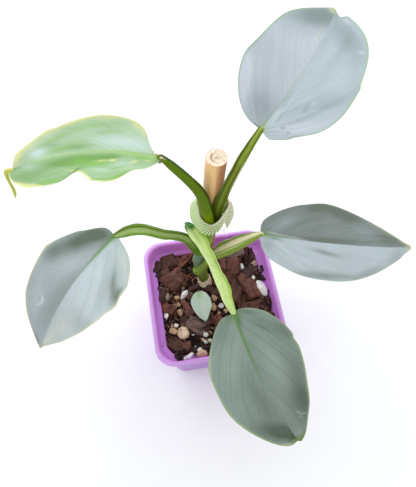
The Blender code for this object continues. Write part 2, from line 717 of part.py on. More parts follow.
# Pieces that stand out in the top of the mix: kind, place, and length, width and height in mm
NAMED_PIECES = (
    ("pebble", (32, 0.5, 66), (8, 10, 7)), ("pebble", (-16.5, -19.5, 66), (8, 7, 6)),
    ("pebble", (-20.5, -33, 65), (8, 5, 4)), ("pebble", (-10, -29, 65), (7, 5, 5)),
    ("pebble", (2, -8, 65), (6, 6, 5)), ("pebble", (-30, 5, 65), (5, 4, 4)),
    ("pebble", (-14, 2, 65), (9, 5, 4)), ("pebble", (-24, -12, 65), (5, 6, 5)),
    ("chip", (-13.5, -12.5, 66), (13, 13, 4)), ("chip", (-31, 12, 66), (14, 12, 5)),
    ("chip", (-20, 26, 66), (16, 8, 5)), ("chip", (13, 22, 66), (14, 10, 5)),
    ("chip", (27, 14, 67), (15, 9, 5)), ("chip", (17, 3, 66), (15, 9, 4)),
    ("chip", (26, -13, 66), (13, 13, 4)), ("chip", (-30, -24, 66), (10, 13, 4)),
    ("chip", (-19, 12, 66), (12, 9, 5)), ("chip", (8, -20, 66), (12, 11, 4)),
    ("chip", (20, 33, 66), (13, 6, 5)), ("chip", (-33, 31, 66), (8, 6, 4)),
)


def mix_pieces():
    """The named pieces, and smaller ones sown between them on a loose grid."""
    draw = random.Random(MIX_SEED)
    makers = {"chip": chip, "pebble": pebble}
    pieces = []
    taken = [(np.array((-2.5, 26)) * MM, 9 * MM), (np.array((-3.5, 13.5)) * MM, 8 * MM),
             (np.array((-7.2, 5.5)) * MM, 4 * MM)]
    for kind, middle, size in NAMED_PIECES:
        spot = np.array(middle) * MM
        spot[2] -= 1.8 * MM
        pieces.append(makers[kind](draw, spot, np.array(size) * MM))
        taken.append((spot[:2], 0.42 * max(size) * MM))
    for column in range(-5, 6):
        for line in range(-5, 6):
            spot = np.array((column + draw.uniform(-0.35, 0.35), line + draw.uniform(-0.35, 0.35)))
            spot = spot * GRAIN_STEP
            kind = "chip" if draw.random() < 0.5 + 0.04 * line else "pebble"
            span = draw.uniform(6.5, 11) if kind == "chip" else draw.uniform(2.8, 5.2)
            size = np.array((span, span * draw.uniform(0.6, 0.95), span * draw.uniform(0.4, 0.8))) * MM
            if any(np.linalg.norm(spot - other) < room + 0.22 * span * MM for other, room in taken):
                continue
            middle = (spot[0], spot[1], SOIL_LEVEL + 0.15 * size[2] + draw.uniform(-0.2, 0.6) * MM)
            pieces.append(makers[kind](draw, middle, size))
            taken.append((spot, 0.24 * span * MM))
    return pieces


def make_mix():
    mix = combine(mix_body(), mix_pieces(), "UNION", "MANIFOLD")
    ledge = POT_HEIGHT - LEDGE_DEPTH - 1.5 * MM
    space = [square_ring(inner_half(z) - CLEAR, corner_at(inner_half(z)), z) for z in (0, ledge)]
    space.append(square_ring(inner_half(ledge) - CLEAR, corner_at(inner_half(ledge)), POT_HEIGHT))
    combine(mix, [solid("pot_space", *loft(space))], "INTERSECT", "MANIFOLD")
    sheath = sheath_rings(CLEAR)
    above = [sheath[-1] + UP * 10 * MM]
    holes = [solid("stake_hole", *loft(stake_rings(CLEAR))), stem_room(), small_stalk(CLEAR),
             solid("sheath_hole", *loft(sheath + above))]
    return combine(mix, holes, "DIFFERENCE", "MANIFOLD")


clear_scene()
make_pot()
make_mix()
make_stake()
make_stem()
make_sheath()
make_stalks()
make_blades()
make_tie()
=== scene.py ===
"""Young silver-leaved climbing philodendron in a square nursery pot: its looks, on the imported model.

Metres, +Z up, +Y to the back of the plant, the origin in the middle of the pot's underside.
"""
import math
import random

import bmesh
import bpy
import numpy as np
from mathutils import Euler, Matrix, Vector, noise


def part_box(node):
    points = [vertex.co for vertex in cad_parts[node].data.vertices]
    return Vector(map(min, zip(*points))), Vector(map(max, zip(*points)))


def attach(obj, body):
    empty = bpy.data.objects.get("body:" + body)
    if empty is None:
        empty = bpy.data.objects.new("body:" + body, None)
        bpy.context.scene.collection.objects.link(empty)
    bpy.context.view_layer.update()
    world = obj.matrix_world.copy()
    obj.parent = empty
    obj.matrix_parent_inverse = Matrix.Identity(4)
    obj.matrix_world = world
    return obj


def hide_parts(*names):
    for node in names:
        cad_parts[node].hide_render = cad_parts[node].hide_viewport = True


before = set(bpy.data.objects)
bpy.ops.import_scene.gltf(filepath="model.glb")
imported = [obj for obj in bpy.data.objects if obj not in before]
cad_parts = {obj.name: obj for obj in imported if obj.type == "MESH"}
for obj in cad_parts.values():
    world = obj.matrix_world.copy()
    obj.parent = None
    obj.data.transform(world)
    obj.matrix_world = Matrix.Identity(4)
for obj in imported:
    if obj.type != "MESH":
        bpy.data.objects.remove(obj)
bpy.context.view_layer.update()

# Backdrop, light and camera
# The floor is pale and plain. A bright band of windows round the back, low in the sky, silvers the
# leaves, and a weak light fills the front. The camera looks steeply down and is a little rolled.
MM = 0.001
FLOOR_SPAN = 4.0
CAMERA_PLACE = (-0.026, -0.090, 0.348)
CAMERA_HEADING = math.radians(13)
CAMERA_TILT = math.radians(25)          # off straight down
CAMERA_ROLL = math.radians(3.3)
PHOTO_HEIGHT = 487
FOCAL_PIXELS = 463
SENSOR = 36.0


def tint(red, green, blue):
    """A colour as a camera stores it, 0 to 255, turned into the light that it stands for."""
    return tuple(((v / 255 + 0.055) / 1.055) ** 2.4 if v > 10 else v / 3295 for v in (red, green, blue))


class Value:
    """A socket of a finish. Sums, products and quotients of values add Math nodes."""

    def __init__(self, finish, socket):
        self.finish = finish
        self.socket = socket

    def out(self, index):
        return Value(self.finish, self.socket.node.outputs[index])

    def __add__(self, other):
        return self.finish.maths("ADD", self, other)

    def __sub__(self, other):
        return self.finish.maths("SUBTRACT", self, other)

    def __rsub__(self, other):
        return self.finish.maths("SUBTRACT", other, self)

    def __mul__(self, other):
        return self.finish.maths("MULTIPLY", self, other)

    def __truediv__(self, other):
        return self.finish.maths("DIVIDE", self, other)

    def __abs__(self):
        return self.finish.maths("ABSOLUTE", self)

    __radd__ = __add__
    __rmul__ = __mul__


class Finish:
    """A procedural material. What is the same all over is set on the shader itself."""

    def __init__(self, name, **plain):
        self.material = bpy.data.materials.new(name)
        self.material.use_nodes = True
        self.tree = self.material.node_tree
        self.shader = self.tree.nodes["Principled BSDF"]
        for key, value in plain.items():
            self.feed(self.shader.inputs[key.replace("_", " ")], value)

    def feed(self, socket, value):
        if isinstance(value, Value):
            self.tree.links.new(value.socket, socket)
        elif socket.type == "RGBA":
            socket.default_value = (*value, 1.0)
        else:
            socket.default_value = value

    def node(self, kind, settings=(), inputs=()):
        """Add one node: its settings first, then the values or links of its sockets."""
        made = self.tree.nodes.new("ShaderNode" + kind)
        for key, value in dict(settings).items():
            setattr(made, key, value)
        for key, value in dict(inputs).items():
            self.feed(made.inputs[key], value)
        return Value(self, made.outputs[0])

    def maths(self, operation, *values):
        return self.node("Math", {"operation": operation}, enumerate(values))

    def mix(self, share, first, second, blend="MIX"):
        settings = {"data_type": "RGBA", "blend_type": blend}
        return self.node("Mix", settings, {0: share, 6: first, 7: second}).out(2)

    def step(self, value, low, high):
        """0 below low and 1 above high, with a smooth rise between them."""
        return self.node("MapRange", {"interpolation_type": "SMOOTHSTEP"}, {0: value, 1: low, 2: high})

    def place(self):
        return self.node("TexCoord").out(3)

    def read(self, name):
        """A number kept on the mesh; out(1) of it is a vector kept there."""
        return self.node("Attribute", {"attribute_name": name}).out(2)

    def parts(self, vector):
        split = self.node("SeparateXYZ", (), {0: vector})
        return split, split.out(1), split.out(2)

    def join(self, x, y, z):
        return self.node("CombineXYZ", (), {0: x, 1: y, 2: z})

    def stretch(self, vector, scales):
        return self.node("VectorMath", {"operation": "MULTIPLY"}, {0: vector, 1: scales})

    def noise(self, vector, scale, detail=3.0, roughness=0.55):
        return self.node("TexNoise", (), {"Vector": vector, "Scale": scale, "Detail": detail,
                                          "Roughness": roughness})

    def cells(self, vector, scale):
        return self.node("TexVoronoi", (), {"Vector": vector, "Scale": scale})

    def paint(self, colour, roughness=None):
        """Give the shader its colour and, where that changes over the surface, its roughness."""
        self.feed(self.shader.inputs["Base Color"], colour)
        if roughness is not None:
            self.feed(self.shader.inputs["Roughness"], roughness)

    def relief(self, height, depth):
        """Small bumps, as high as depth in metres where height goes from 0 to 1."""
        self.feed(self.shader.inputs["Normal"], self.node("Bump", (), {"Distance": depth, "Height": height}))


def build(name, points, faces, finish, sharp=35, **kept):
    """A mesh piece with smooth shading. kept are numbers or vectors that its finish reads by name."""
    mesh = bpy.data.meshes.new(name)
    mesh.from_pydata(np.asarray(points).tolist(), [], [tuple(face) for face in faces])
    for key, values in kept.items():
        values = np.asarray(values, dtype=float)
        form, field = ("FLOAT", "value") if values.ndim == 1 else ("FLOAT_VECTOR", "vector")
        mesh.attributes.new(key, form, "POINT").data.foreach_set(field, values.ravel())
    edit = bmesh.new()
    edit.from_mesh(mesh)
    bmesh.ops.recalc_face_normals(edit, faces=edit.faces)
    edit.to_mesh(mesh)
    edit.free()
    mesh.materials.append(finish.material)
    mesh.shade_smooth()
    mesh.set_sharp_from_angle(angle=math.radians(sharp))
    piece = bpy.data.objects.new(name, mesh)
    bpy.context.scene.collection.objects.link(piece)
    return piece


floor_finish = Finish("pale_floor", Roughness=0.85)
speckle = floor_finish.noise(floor_finish.place(), 60.0)
floor_finish.paint(floor_finish.mix(speckle, tint(240, 240, 241), tint(244, 244, 244)))
half_floor = FLOOR_SPAN / 2
floor = build("floor", [(-half_floor, -half_floor, 0), (half_floor, -half_floor, 0),
                        (half_floor, half_floor, 0), (-half_floor, half_floor, 0)],
              [(0, 1, 2, 3)], floor_finish)

world = bpy.data.worlds.new("studio")
bpy.context.scene.world = world
world.use_nodes = True
world.node_tree.nodes["Background"].inputs["Color"].default_value = (0.97, 0.98, 1.0, 1.0)
world.node_tree.nodes["Background"].inputs["Strength"].default_value = 0.62
bpy.context.scene.view_settings.view_transform = "Standard"


def soft_box(name, azimuth, elevation, distance, size, power, colour):
    """A soft light that faces the plant. Azimuth in degrees from the back, clockwise; power in watts."""
    turn, rise = math.radians(azimuth), math.radians(elevation)
    light = bpy.data.lights.new(name, "AREA")
    light.shape = "RECTANGLE"
    light.size, light.size_y = size
    light.energy = power
    light.color = colour
    holder = bpy.data.objects.new(name, light)
    towards = Vector((math.sin(turn) * math.cos(rise), math.cos(turn) * math.cos(rise), math.sin(rise)))
    holder.location = Vector((0, 0, 0.1)) + distance * towards
    holder.rotation_euler = towards.to_track_quat("Z", "Y").to_euler()
    holder.visible_camera = False
    bpy.context.scene.collection.objects.link(holder)


WINDOW_COLOUR = (0.93, 0.97, 1.0)
for azimuth, power in ((-84, 5.5), (-42, 5.0), (0, 5.0), (42, 5.0), (84, 4.0)):
    soft_box("window", azimuth, 35, 1.4, (1.05, 0.9), power, WINDOW_COLOUR)
soft_box("room_front", 170, 48, 1.6, (1.4, 1.0), 4.0, (1.0, 0.98, 0.95))

ahead = Vector((math.sin(CAMERA_HEADING) * math.sin(CAMERA_TILT),
                math.cos(CAMERA_HEADING) * math.sin(CAMERA_TILT), -math.cos(CAMERA_TILT)))
level = Vector((math.cos(CAMERA_HEADING), -math.sin(CAMERA_HEADING), 0))
across = level * math.cos(CAMERA_ROLL) + level.cross(ahead) * math.sin(CAMERA_ROLL)
upward = across.cross(ahead)
lens = bpy.data.cameras.new("camera")
lens.sensor_fit = "VERTICAL"
lens.sensor_height = SENSOR
lens.lens = FOCAL_PIXELS / PHOTO_HEIGHT * SENSOR
lens.clip_start = 0.01
camera = bpy.data.objects.new("camera", lens)
turn = Matrix((across, upward, -ahead)).transposed().to_4x4()
camera.matrix_world = Matrix.Translation(CAMERA_PLACE) @ turn
bpy.context.scene.collection.objects.link(camera)
bpy.context.scene.camera = camera

# Pot
# Thin moulded plastic, square with round corners. A wider collar stands under the rolled rim, a
# ledge runs round the inside, and the flat floor has four drain holes.
pot_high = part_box("pot")[1]
POT_RIM = pot_high[0]                   # half of the outer width at the rim
POT_HEIGHT = pot_high[2]
POT_FOOT = 31 * MM
POT_WALL = 1.3 * MM
POT_FLOOR = 1.6 * MM
COLLAR_DEPTH = 12 * MM
COLLAR_HALF = POT_RIM - 2.6 * MM
COLLAR_STEP = 1.2 * MM
LEDGE_DEPTH = 8 * MM
LEDGE_WIDTH = 2.2 * MM
RIM_CORNER = 11.5 * MM
DRAIN_RADIUS = 3 * MM
DRAIN_OFFSET = 17 * MM
SOIL_LEVEL = 63 * MM


def square_ring(half, height, steps=16):
    """A level square ring whose corners are rounder the wider it is."""
    corner = RIM_CORNER * half / POT_RIM
    ring = []
    for quarter in range(4):
        for step in range(steps + 1):
            angle = math.radians(90 * (quarter + step / steps))
            centre = math.radians(90 * quarter + 45)
            reach = (half - corner) * math.sqrt(2)
            ring.append((reach * math.cos(centre) + corner * math.cos(angle),
                         reach * math.sin(centre) + corner * math.sin(angle), height))
    return np.array(ring)


def wall_half(height):
    """Half of the pot's outer width below the collar."""
    top = COLLAR_HALF - COLLAR_STEP
    return POT_FOOT + (top - POT_FOOT) * height / (POT_HEIGHT - COLLAR_DEPTH)


def inner_half(height):
    return wall_half(height) - POT_WALL


def arc(half, height, radius, start, end, steps):
    """Points of a rounded edge of the pot's profile, as half widths and heights."""
    turns = [math.radians(start + (end - start) * k / steps) for k in range(steps + 1)]
    return [(half + radius * math.cos(a), height + radius * math.sin(a)) for a in turns]


def grid_faces(rows, columns, closed=False):
    """Quads between rows of points; closed joins each row's last point to its first."""
    k, i = np.meshgrid(np.arange(rows - 1), np.arange(columns if closed else columns - 1), indexing="ij")
    j = (i + 1) % columns
    corners = (k * columns + i, k * columns + j, (k + 1) * columns + j, (k + 1) * columns + i)
    return np.stack(corners, axis=-1).reshape(-1, 4)


def loft(rings):
    """Points and faces of a skin through rings of equal count, its two ends closed."""
    rings = np.asarray(rings)
    rows, count = rings.shape[:2]
    points = rings.reshape(-1, 3)
    faces = grid_faces(rows, count, closed=True).tolist()
    faces.append(list(range(count))[::-1])
    faces.append(list(range((rows - 1) * count, rows * count)))
    return points, faces


collar_foot = POT_HEIGHT - COLLAR_DEPTH
ledge = POT_HEIGHT - LEDGE_DEPTH
profile = [(POT_FOOT - 1.6 * MM, 0)]
profile += arc(POT_FOOT - 1.2 * MM, 1.2 * MM, 1.2 * MM, -90, 0, 4)
profile += [(wall_half(0.5 * collar_foot), 0.5 * collar_foot)]
profile += [(wall_half(collar_foot) - 0.1 * MM, collar_foot - 0.6 * MM)]
profile += [(wall_half(collar_foot), collar_foot)]
profile += arc(COLLAR_HALF - 0.5 * MM, collar_foot + 0.9 * MM, 0.5 * MM, -70, 0, 3)
profile += [(COLLAR_HALF + 0.4 * MM, POT_HEIGHT - 3.0 * MM)]
profile += [(COLLAR_HALF + 0.6 * MM, POT_HEIGHT - 2.5 * MM)]
profile += arc(POT_RIM - 1.25 * MM, POT_HEIGHT - 1.25 * MM, 1.25 * MM, -80, 90, 9)
profile += arc(COLLAR_HALF + 1.0 * MM, POT_HEIGHT - 1.2 * MM, 1.2 * MM, 90, 175, 5)
profile += [(COLLAR_HALF - POT_WALL, ledge + 0.4 * MM), (COLLAR_HALF - POT_WALL - 0.1 * MM, ledge)]
on_ledge = inner_half(ledge) - LEDGE_WIDTH
profile += [(on_ledge + 0.5 * MM, ledge - 0.4 * MM), (on_ledge, ledge - 1.0 * MM)]
profile += [(on_ledge, SOIL_LEVEL + 0.6 * MM), (inner_half(SOIL_LEVEL), SOIL_LEVEL - 1 * MM)]
profile += [(inner_half(2 * POT_FLOOR), 2 * POT_FLOOR), (inner_half(POT_FLOOR) - 1.0 * MM, POT_FLOOR)]

plastic = Finish("lilac_plastic", Specular_IOR_Level=0.5, Subsurface_Weight=0.2,
                 Subsurface_Radius=(0.6, 0.3, 0.6), Subsurface_Scale=0.003)
spot = plastic.place()
x, y, z = plastic.parts(spot)
facing = plastic.node("VectorMath", {"operation": "DOT_PRODUCT"},
                      {0: plastic.node("NewGeometry").out(1), 1: plastic.join(x, y, 0.0)}).out(1)
inside = plastic.step(facing, 0.0, -0.01)
cloudy = plastic.noise(spot, 45.0, 4.0)
scuffs = plastic.step(plastic.noise(plastic.stretch(spot, (1.0, 1.0, 0.25)), 900.0, 2.0), 0.62, 0.75)
lilac = plastic.mix(cloudy, tint(182, 120, 212), tint(198, 140, 222))
# Painted highlight: the top of the rim is painted a paler lilac, where light catches it.
lilac = plastic.mix(plastic.step(z, POT_HEIGHT - 3.2 * MM, POT_HEIGHT - 0.6 * MM) * 0.55,
                    lilac, tint(226, 184, 240))
# Painted shade and painted light inside the pot: below the ledge the wall is painted a darker purple, as in
# shade, and above it brighter and pinker, as where the light comes in.
lilac = plastic.mix(inside * plastic.step(z, ledge - 1 * MM, ledge - 4 * MM) * 0.35,
                    lilac, tint(160, 88, 184))
lilac = plastic.mix(inside * plastic.step(z, ledge - 4 * MM, ledge) * 0.7, lilac, tint(214, 132, 224))
# Painted shade: the outer wall below the rim is painted darker, as in the rim's shade.
lilac = plastic.mix((1 - inside) * plastic.step(z, POT_HEIGHT - 2.6 * MM, POT_HEIGHT - 4.5 * MM) * 0.35,
                    lilac, tint(146, 92, 184))
ragged = plastic.noise(spot, 260.0, 5.0, 0.7) * 9 * MM
under_rim = plastic.step(facing, 0.01, -0.001)
smear = under_rim * plastic.step(z + ragged, SOIL_LEVEL + 9.0 * MM, SOIL_LEVEL + 5.0 * MM)
smear = smear * plastic.step(plastic.noise(spot, 520.0, 4.0, 0.65), 0.40, 0.62)
lilac = plastic.mix(smear * 0.6, lilac, tint(92, 58, 74))
plastic.paint(plastic.mix(scuffs * 0.18, lilac, tint(228, 210, 240)),
              0.30 + cloudy * 0.14 + smear * 0.35 + scuffs * 0.1)
plastic.relief(plastic.noise(spot, 700.0, 2.0) * 0.5 + smear, 0.08 * MM)

rings = [square_ring(half, height) for half, height in profile]
pot = build("pot_shell", *loft(rings), plastic, sharp=40)
for drain_x in (-DRAIN_OFFSET, DRAIN_OFFSET):
    for drain_y in (-DRAIN_OFFSET, DRAIN_OFFSET):
        turns = [math.radians(15 * k) for k in range(24)]
        circle = [(drain_x + DRAIN_RADIUS * math.cos(a), drain_y + DRAIN_RADIUS * math.sin(a))
                  for a in turns]
        ends = [[(*point, height) for point in circle] for height in (-POT_FLOOR, 2 * POT_FLOOR)]
        hole = build("drain", *loft(ends), plastic)
        cut = pot.modifiers.new("drain", "BOOLEAN")
        cut.object = hole
        cut.operation = "DIFFERENCE"
        bpy.context.view_layer.update()
        shape = bpy.data.meshes.new_from_object(pot.evaluated_get(bpy.context.evaluated_depsgraph_get()))
        pot.modifiers.clear()
        pot.data = shape
        bpy.data.objects.remove(hole, do_unlink=True)
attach(pot, "root")
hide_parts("pot")

# Potting mix
# Dark peat, with broken chips and sticks of red-brown bark, grains of pumice and perlite, and a few
# fibres of coir. The pieces lie loose on each other and sink into the peat.
MIX_SEED = 11
GRAIN_STEP = 5.4 * MM
# The big pieces: x and y, length, width and height in mm, turn in degrees, and tone from 0 to 1
CHIPS = (
    (-22, 15, 13, 11, 6, 25, 0.35), (-13.5, 29.5, 20, 4.5, 3, 40, 0.75), (-31, 22, 8, 6, 4, 60, 0.05),
    (-17.3, -2, 9, 4, 3, -65, 0.55), (-14, -14.9, 11.5, 10, 4, -35, 0.95), (-27, -26, 8, 7, 4, 40, 0.25),
    (-33, -28, 7, 6, 4, 10, 0.05), (-21.8, -28.7, 6, 5, 4, 0, 0.4), (19.8, 26.9, 12, 6, 6, 8, 1.0),
    (27.5, 26, 12, 3, 3, 75, 0.3), (30, 24, 12, 3, 3, 80, 0.1), (32, 27, 11, 3, 3, 85, 0.3),
    (17.6, 19.3, 12, 7, 7, 75, 0.4), (11.4, 21.7, 11, 8, 5, 80, 0.45), (23.6, 5, 19, 8, 6, -71, 0.5),
    (15, 2.8, 14, 10, 5, 60, 0.3), (25.5, -9.1, 15, 8, 4, 15, 0.35), (-4.3, -13.9, 5, 5, 3, 0, 0.3),
    (-33, 8, 9, 6, 4, 80, 0.15), (-24, 30, 11, 7, 5, 10, 0.2), (3, 31, 10, 6, 4, -20, 0.2),
    (27, 14, 9, 6, 5, 30, 0.1), (13, 12, 10, 6, 4, -40, 0.3), (12, -20, 12, 9, 4, 20, 0.4),
    (27, -24, 12, 10, 4, -30, 0.3), (2, -31, 10, 8, 4, 0, 0.3), (-16.2, 15.7, 9, 5, 4, 70, 0.45),
    (-11.3, 9.3, 7, 4, 3, 20, 0.2), (-19.6, 28.3, 9, 4, 3, 55, 0.3), (1.1, 5.8, 8, 5, 3, -40, 0.15),
)
STONES = (
    (-17.7, 5.6, 7.5, 3.5, 3.5, 35, 0.1), (-22.4, 4.3, 3.5, 3, 3, 0, 0.6),
    (-28.6, 6.1, 3.5, 5.5, 3.5, 0, 0.9), (-22, -5.7, 3.5, 5, 4, 0, 0.6), (-30.9, -6.2, 3, 6, 3, 0, 0.2),
    (-21.5, -18.7, 7, 7.5, 6.5, 0, 0.4), (-28.1, -17, 5, 4.5, 4, 0, 0.7), (-25.7, -13.5, 3, 3, 3, 0, 0.2),
    (-8.3, -22.2, 3, 2.6, 2.6, 0, 0.1), (-9.1, -26.5, 2.6, 2.6, 2.6, 0, 0.2),
    (-6.5, -26.3, 2.6, 3, 2.6, 0, 0.3), (-12.9, -34.4, 6.5, 5, 5, 0, 0.55),
    (-13.5, -31.5, 4, 3, 3, 0, 0.1), (-20.8, -34.3, 7.5, 3.5, 3.5, 30, 0.05),
    (22.8, 18.4, 3, 5, 3, 0, 0.15), (31, 18.5, 4.5, 4.5, 4, 0, 0.85), (28.2, 9, 3, 4.5, 3.5, 0, 0.1),
    (31.7, 0.7, 6.5, 10.5, 6.5, 18, 0.0), (1.4, 0.3, 4, 4.5, 4, 0, 0.6),
    (4.2, -5.5, 3.5, 3.5, 3, 0, 0.15), (-0.4, -6.1, 4, 5, 4, 0, 0.65), (6.7, -9.3, 3, 3, 3, 0, 0.55),
    (-31, -33, 3, 3, 3, 0, 0.8),
)
# What stands in the mix, and the stones that lie on its bank: x, y and the room that each needs, in mm
STANDING = ((-2.5, 26, 5.5), (-3.5, 13.5, 5), (-7.2, 5.5, 1.5))
STONES_ON_BANK = ((31.7, 0.7, 6), (31, 18.5, 6), (-12.9, -34.4, 3.5), (-20.8, -34.3, 4), (-13.5, -31.5, 2))
CRUMBS = 2500
BANK_CRUMBS = 800
CORNER_ROOM = 8 * MM                    # how round the corners of the crumbs' square are


def mix_places():
    """Kind, middle, size, turn and tone of each piece: the big ones, then others on a loose grid."""
    draw = random.Random(MIX_SEED)
    places = []
    taken = [(np.array((x, y)) * MM, room * MM) for x, y, room in STANDING]
    for kind, pieces in (("chip", CHIPS), ("stone", STONES)):
        for x, y, long, wide, high, turn, tone in pieces:
            by_right = min(max((x - 22) / 6, 0), 1) * (y < 22)
            by_front = min(max((-y - 29) / 3, 0), 1) * (x > -30)
            heaped = 2.5 * max(by_right, by_front)
            middle = np.array((x, y, SOIL_LEVEL / MM + 0.3 + 0.3 * high + heaped)) * MM
            places.append((kind, middle, np.array((long, wide, high)) * MM, math.radians(turn), tone))
            taken.append((middle[:2], 0.30 * (long + wide) / 2 * MM + 0.6 * MM))
    for column in range(-6, 7):
        for line in range(-6, 7):
            spot = np.array((column + draw.uniform(-0.4, 0.4), line + draw.uniform(-0.4, 0.4))) * GRAIN_STEP
            chip = draw.random() < 0.52 + 0.03 * line
            long = draw.uniform(4, 8) if chip else draw.uniform(2.0, 3.6)
            size = np.array((long, long * draw.uniform(0.4, 0.9), long * draw.uniform(0.4, 0.7)))
            height = SOIL_LEVEL + (0.25 * size[2] + draw.uniform(-0.3, 0.5)) * MM
            turn, tone = draw.uniform(0, 6), draw.random() * (0.6 if chip else 1)
            if np.abs(spot).max() > 33 * MM or any(np.linalg.norm(spot - other) < room + 0.2 * long * MM
                                                   for other, room in taken):
                continue
            places.append(("chip" if chip else "stone", np.array((*spot, height)), size * MM, turn, tone))
            taken.append((spot, 0.25 * long * MM))
    return places


class Heap:
    """Many small pieces gathered into one mesh, each with a tint of its own."""

    def __init__(self):
        self.points, self.faces, self.tints, self.grain = [], [], [], []
        self.count = 0

    def add(self, points, faces, shade, grain=None):
        points = np.asarray(points)
        self.points.append(points)
        self.faces += [[index + self.count for index in face] for face in faces]
        self.tints.append(np.full(len(points), shade))
        self.grain.append(points if grain is None else np.asarray(grain))
        self.count += len(points)

    def make(self, name, finish, sharp=35):
        return build(name, np.vstack(self.points), self.faces, finish, sharp,
                     shade=np.concatenate(self.tints), grain=np.vstack(self.grain))


def ball(subdivisions):
    """Points and faces of a round ball of width 1."""
    edit = bmesh.new()
    bmesh.ops.create_icosphere(edit, subdivisions=subdivisions, radius=0.5)
    shape = (np.array([v.co for v in edit.verts]), [[v.index for v in f.verts] for f in edit.faces])
    edit.free()
    return shape


def block(cuts):
    """Points and faces of a cube of width 1, cut into small squares."""
    edit = bmesh.new()
    bmesh.ops.create_cube(edit, size=1.0)
    bmesh.ops.subdivide_edges(edit, edges=edit.edges, cuts=cuts, use_grid_fill=True)
    edit.verts.index_update()
    shape = (np.array([v.co for v in edit.verts]), [[v.index for v in f.verts] for f in edit.faces])
    edit.free()
    return shape


def unit(vector):
    return vector / np.linalg.norm(vector)


def rough(points, scale, height, shift):
    """How far noise of that scale, in waves a metre, moves each point, in metres."""
    return np.array([height * noise.noise(Vector(p) * scale + Vector((shift, 0, 0))) for p in points])


BLOCK = block(9)
BALLS = {subdivisions: ball(subdivisions) for subdivisions in range(1, 5)}


def tipped(draw, tip, turn):
    """A turn about the upright, tipped over a little by chance."""
    return np.array(Euler((draw.uniform(-tip, tip), draw.uniform(-tip, tip), turn)).to_matrix())


def bark_chip(draw, middle, size, turn):
    """A broken piece of bark: a rounded, uneven block, stepped in layers and ridged along its grain."""
    corner = {(a, b, c): np.array([draw.uniform(0.55, 1.25) for _ in range(3)])
              for a in (-0.5, 0.5) for b in (-0.5, 0.5) for c in (-0.5, 0.5)}
    unit_points, faces = BLOCK
    stretch = np.zeros_like(unit_points)
    for (a, b, c), corner_stretch in corner.items():
        stretch += np.prod(0.5 + 2 * unit_points * np.array((a, b, c)), axis=1)[:, None] * corner_stretch
    reach = np.abs(2 * unit_points)
    round_off = reach.max(axis=1) / (reach ** 8).sum(axis=1) ** 0.125
    points = unit_points * stretch * round_off[:, None] * size * 1.1
    shift = draw.uniform(0, 50)
    layer = np.floor((unit_points[:, 2] + 0.5) * 3.4 + rough(points, 220, 0.9, shift))
    ledge_out = np.array([0.08 * math.sin(5.1 * k + shift) for k in layer])
    points = points * (1 + ledge_out[:, None] * np.array((1, 1, 0)))
    ridges = np.array([noise.noise(Vector(g) + Vector((shift, 0, 0)))
                       for g in points * np.array((120, 950, 500))])
    worn = rough(points, 150, 0.14 * min(size), shift + 9) + rough(points, 520, 0.6 * MM, shift + 4)
    outward = unit_points / np.linalg.norm(unit_points, axis=1)[:, None]
    points = points + outward * (worn + ridges * 0.55 * MM)[:, None]
    return points @ tipped(draw, 0.3, turn).T + middle, faces, points + shift


def stone(draw, middle, size, turn):
    """A grain of pumice: a ball with its sides broken off flat, and pitted."""
    unit_points, faces = BALLS[4 if max(size) > 6 * MM else 3]
    shift = draw.uniform(0, 50)
    points = unit_points * (1 + rough(unit_points, 2.2, 0.22, shift))[:, None]
    for _ in range(9):
        towards = unit(np.array([draw.gauss(0, 1) for _ in range(3)]))
        over = np.maximum(points @ towards - draw.uniform(0.28, 0.44), 0)
        points = points - np.outer(over * 0.85, towards)
    points = points * (1 + rough(unit_points, 9.0, 0.05, shift))[:, None] * size * 1.12
    return points @ tipped(draw, 0.2, turn).T + middle, faces, points + shift


def within_wall(points):
    """The points of a piece, with those that would stand in the pot's wall pressed back off it."""
    points = np.array(points)
    half = np.where(points[:, 2] > ledge, COLLAR_HALF - POT_WALL, inner_half(points[:, 2])) - 0.2 * MM
    corner = RIM_CORNER * half / POT_RIM
    straight = (half - corner)[:, None]
    core = np.clip(points[:, :2], -straight, straight)
    far = np.linalg.norm(points[:, :2] - core, axis=1)
    points[:, :2] = core + (points[:, :2] - core) * np.minimum(1, corner / np.maximum(far, 1e-9))[:, None]
    return points


bark, pumice = Heap(), Heap()
for index, (kind, middle, size, turn, tone) in enumerate(mix_places()):
    draw = random.Random(MIX_SEED * 1000 + index)
    shape, heap = (bark_chip, bark) if kind == "chip" else (stone, pumice)
    points, faces, grain = shape(draw, middle, size, turn)
    heap.add(within_wall(points), faces, tone, grain)


def crumb(draw, span, longer, thickest, spot, lift):
    """A small rough grain, turned by chance, at its spot and lifted off the soil's level by mm."""
    unit_points, faces = BALLS[1]
    size = span * np.array((longer, draw.uniform(0.5, 0.9), draw.uniform(0.4, thickest)))
    points = unit_points * (1 + rough(unit_points, 3.0, 0.5, draw.uniform(0, 50)))[:, None] * size
    turn = Euler((draw.uniform(-0.5, 0.5), draw.uniform(-0.5, 0.5), draw.uniform(0, 3)))
    points = points @ np.array(turn.to_matrix()).T
    return within_wall(points + np.array((*spot, SOIL_LEVEL + draw.uniform(*lift) * MM))), faces


# Small crumbs between the big pieces: peat, bark and a little light grit
draw = random.Random(MIX_SEED + 1)
crumbs, splinters = Heap(), Heap()
soil_half = inner_half(SOIL_LEVEL) - 1.2 * MM
for _ in range(CRUMBS):
    spot = np.array((draw.uniform(-1, 1), draw.uniform(-1, 1))) * soil_half
    if sum(max(abs(v) - (soil_half - CORNER_ROOM), 0) ** 2 for v in spot) > CORNER_ROOM ** 2:
        continue
    kind = draw.random()
    span = (draw.uniform(0.6, 1.5) if kind < 0.14 else draw.uniform(0.8, 2.4)) * MM
    points, faces = crumb(draw, span, 1.6 if kind > 0.7 else 1, 0.8, spot, (-0.2, 1.6))
    heap = pumice if kind < 0.09 else splinters if kind > 0.72 else crumbs
    heap.add(points, faces, draw.random())

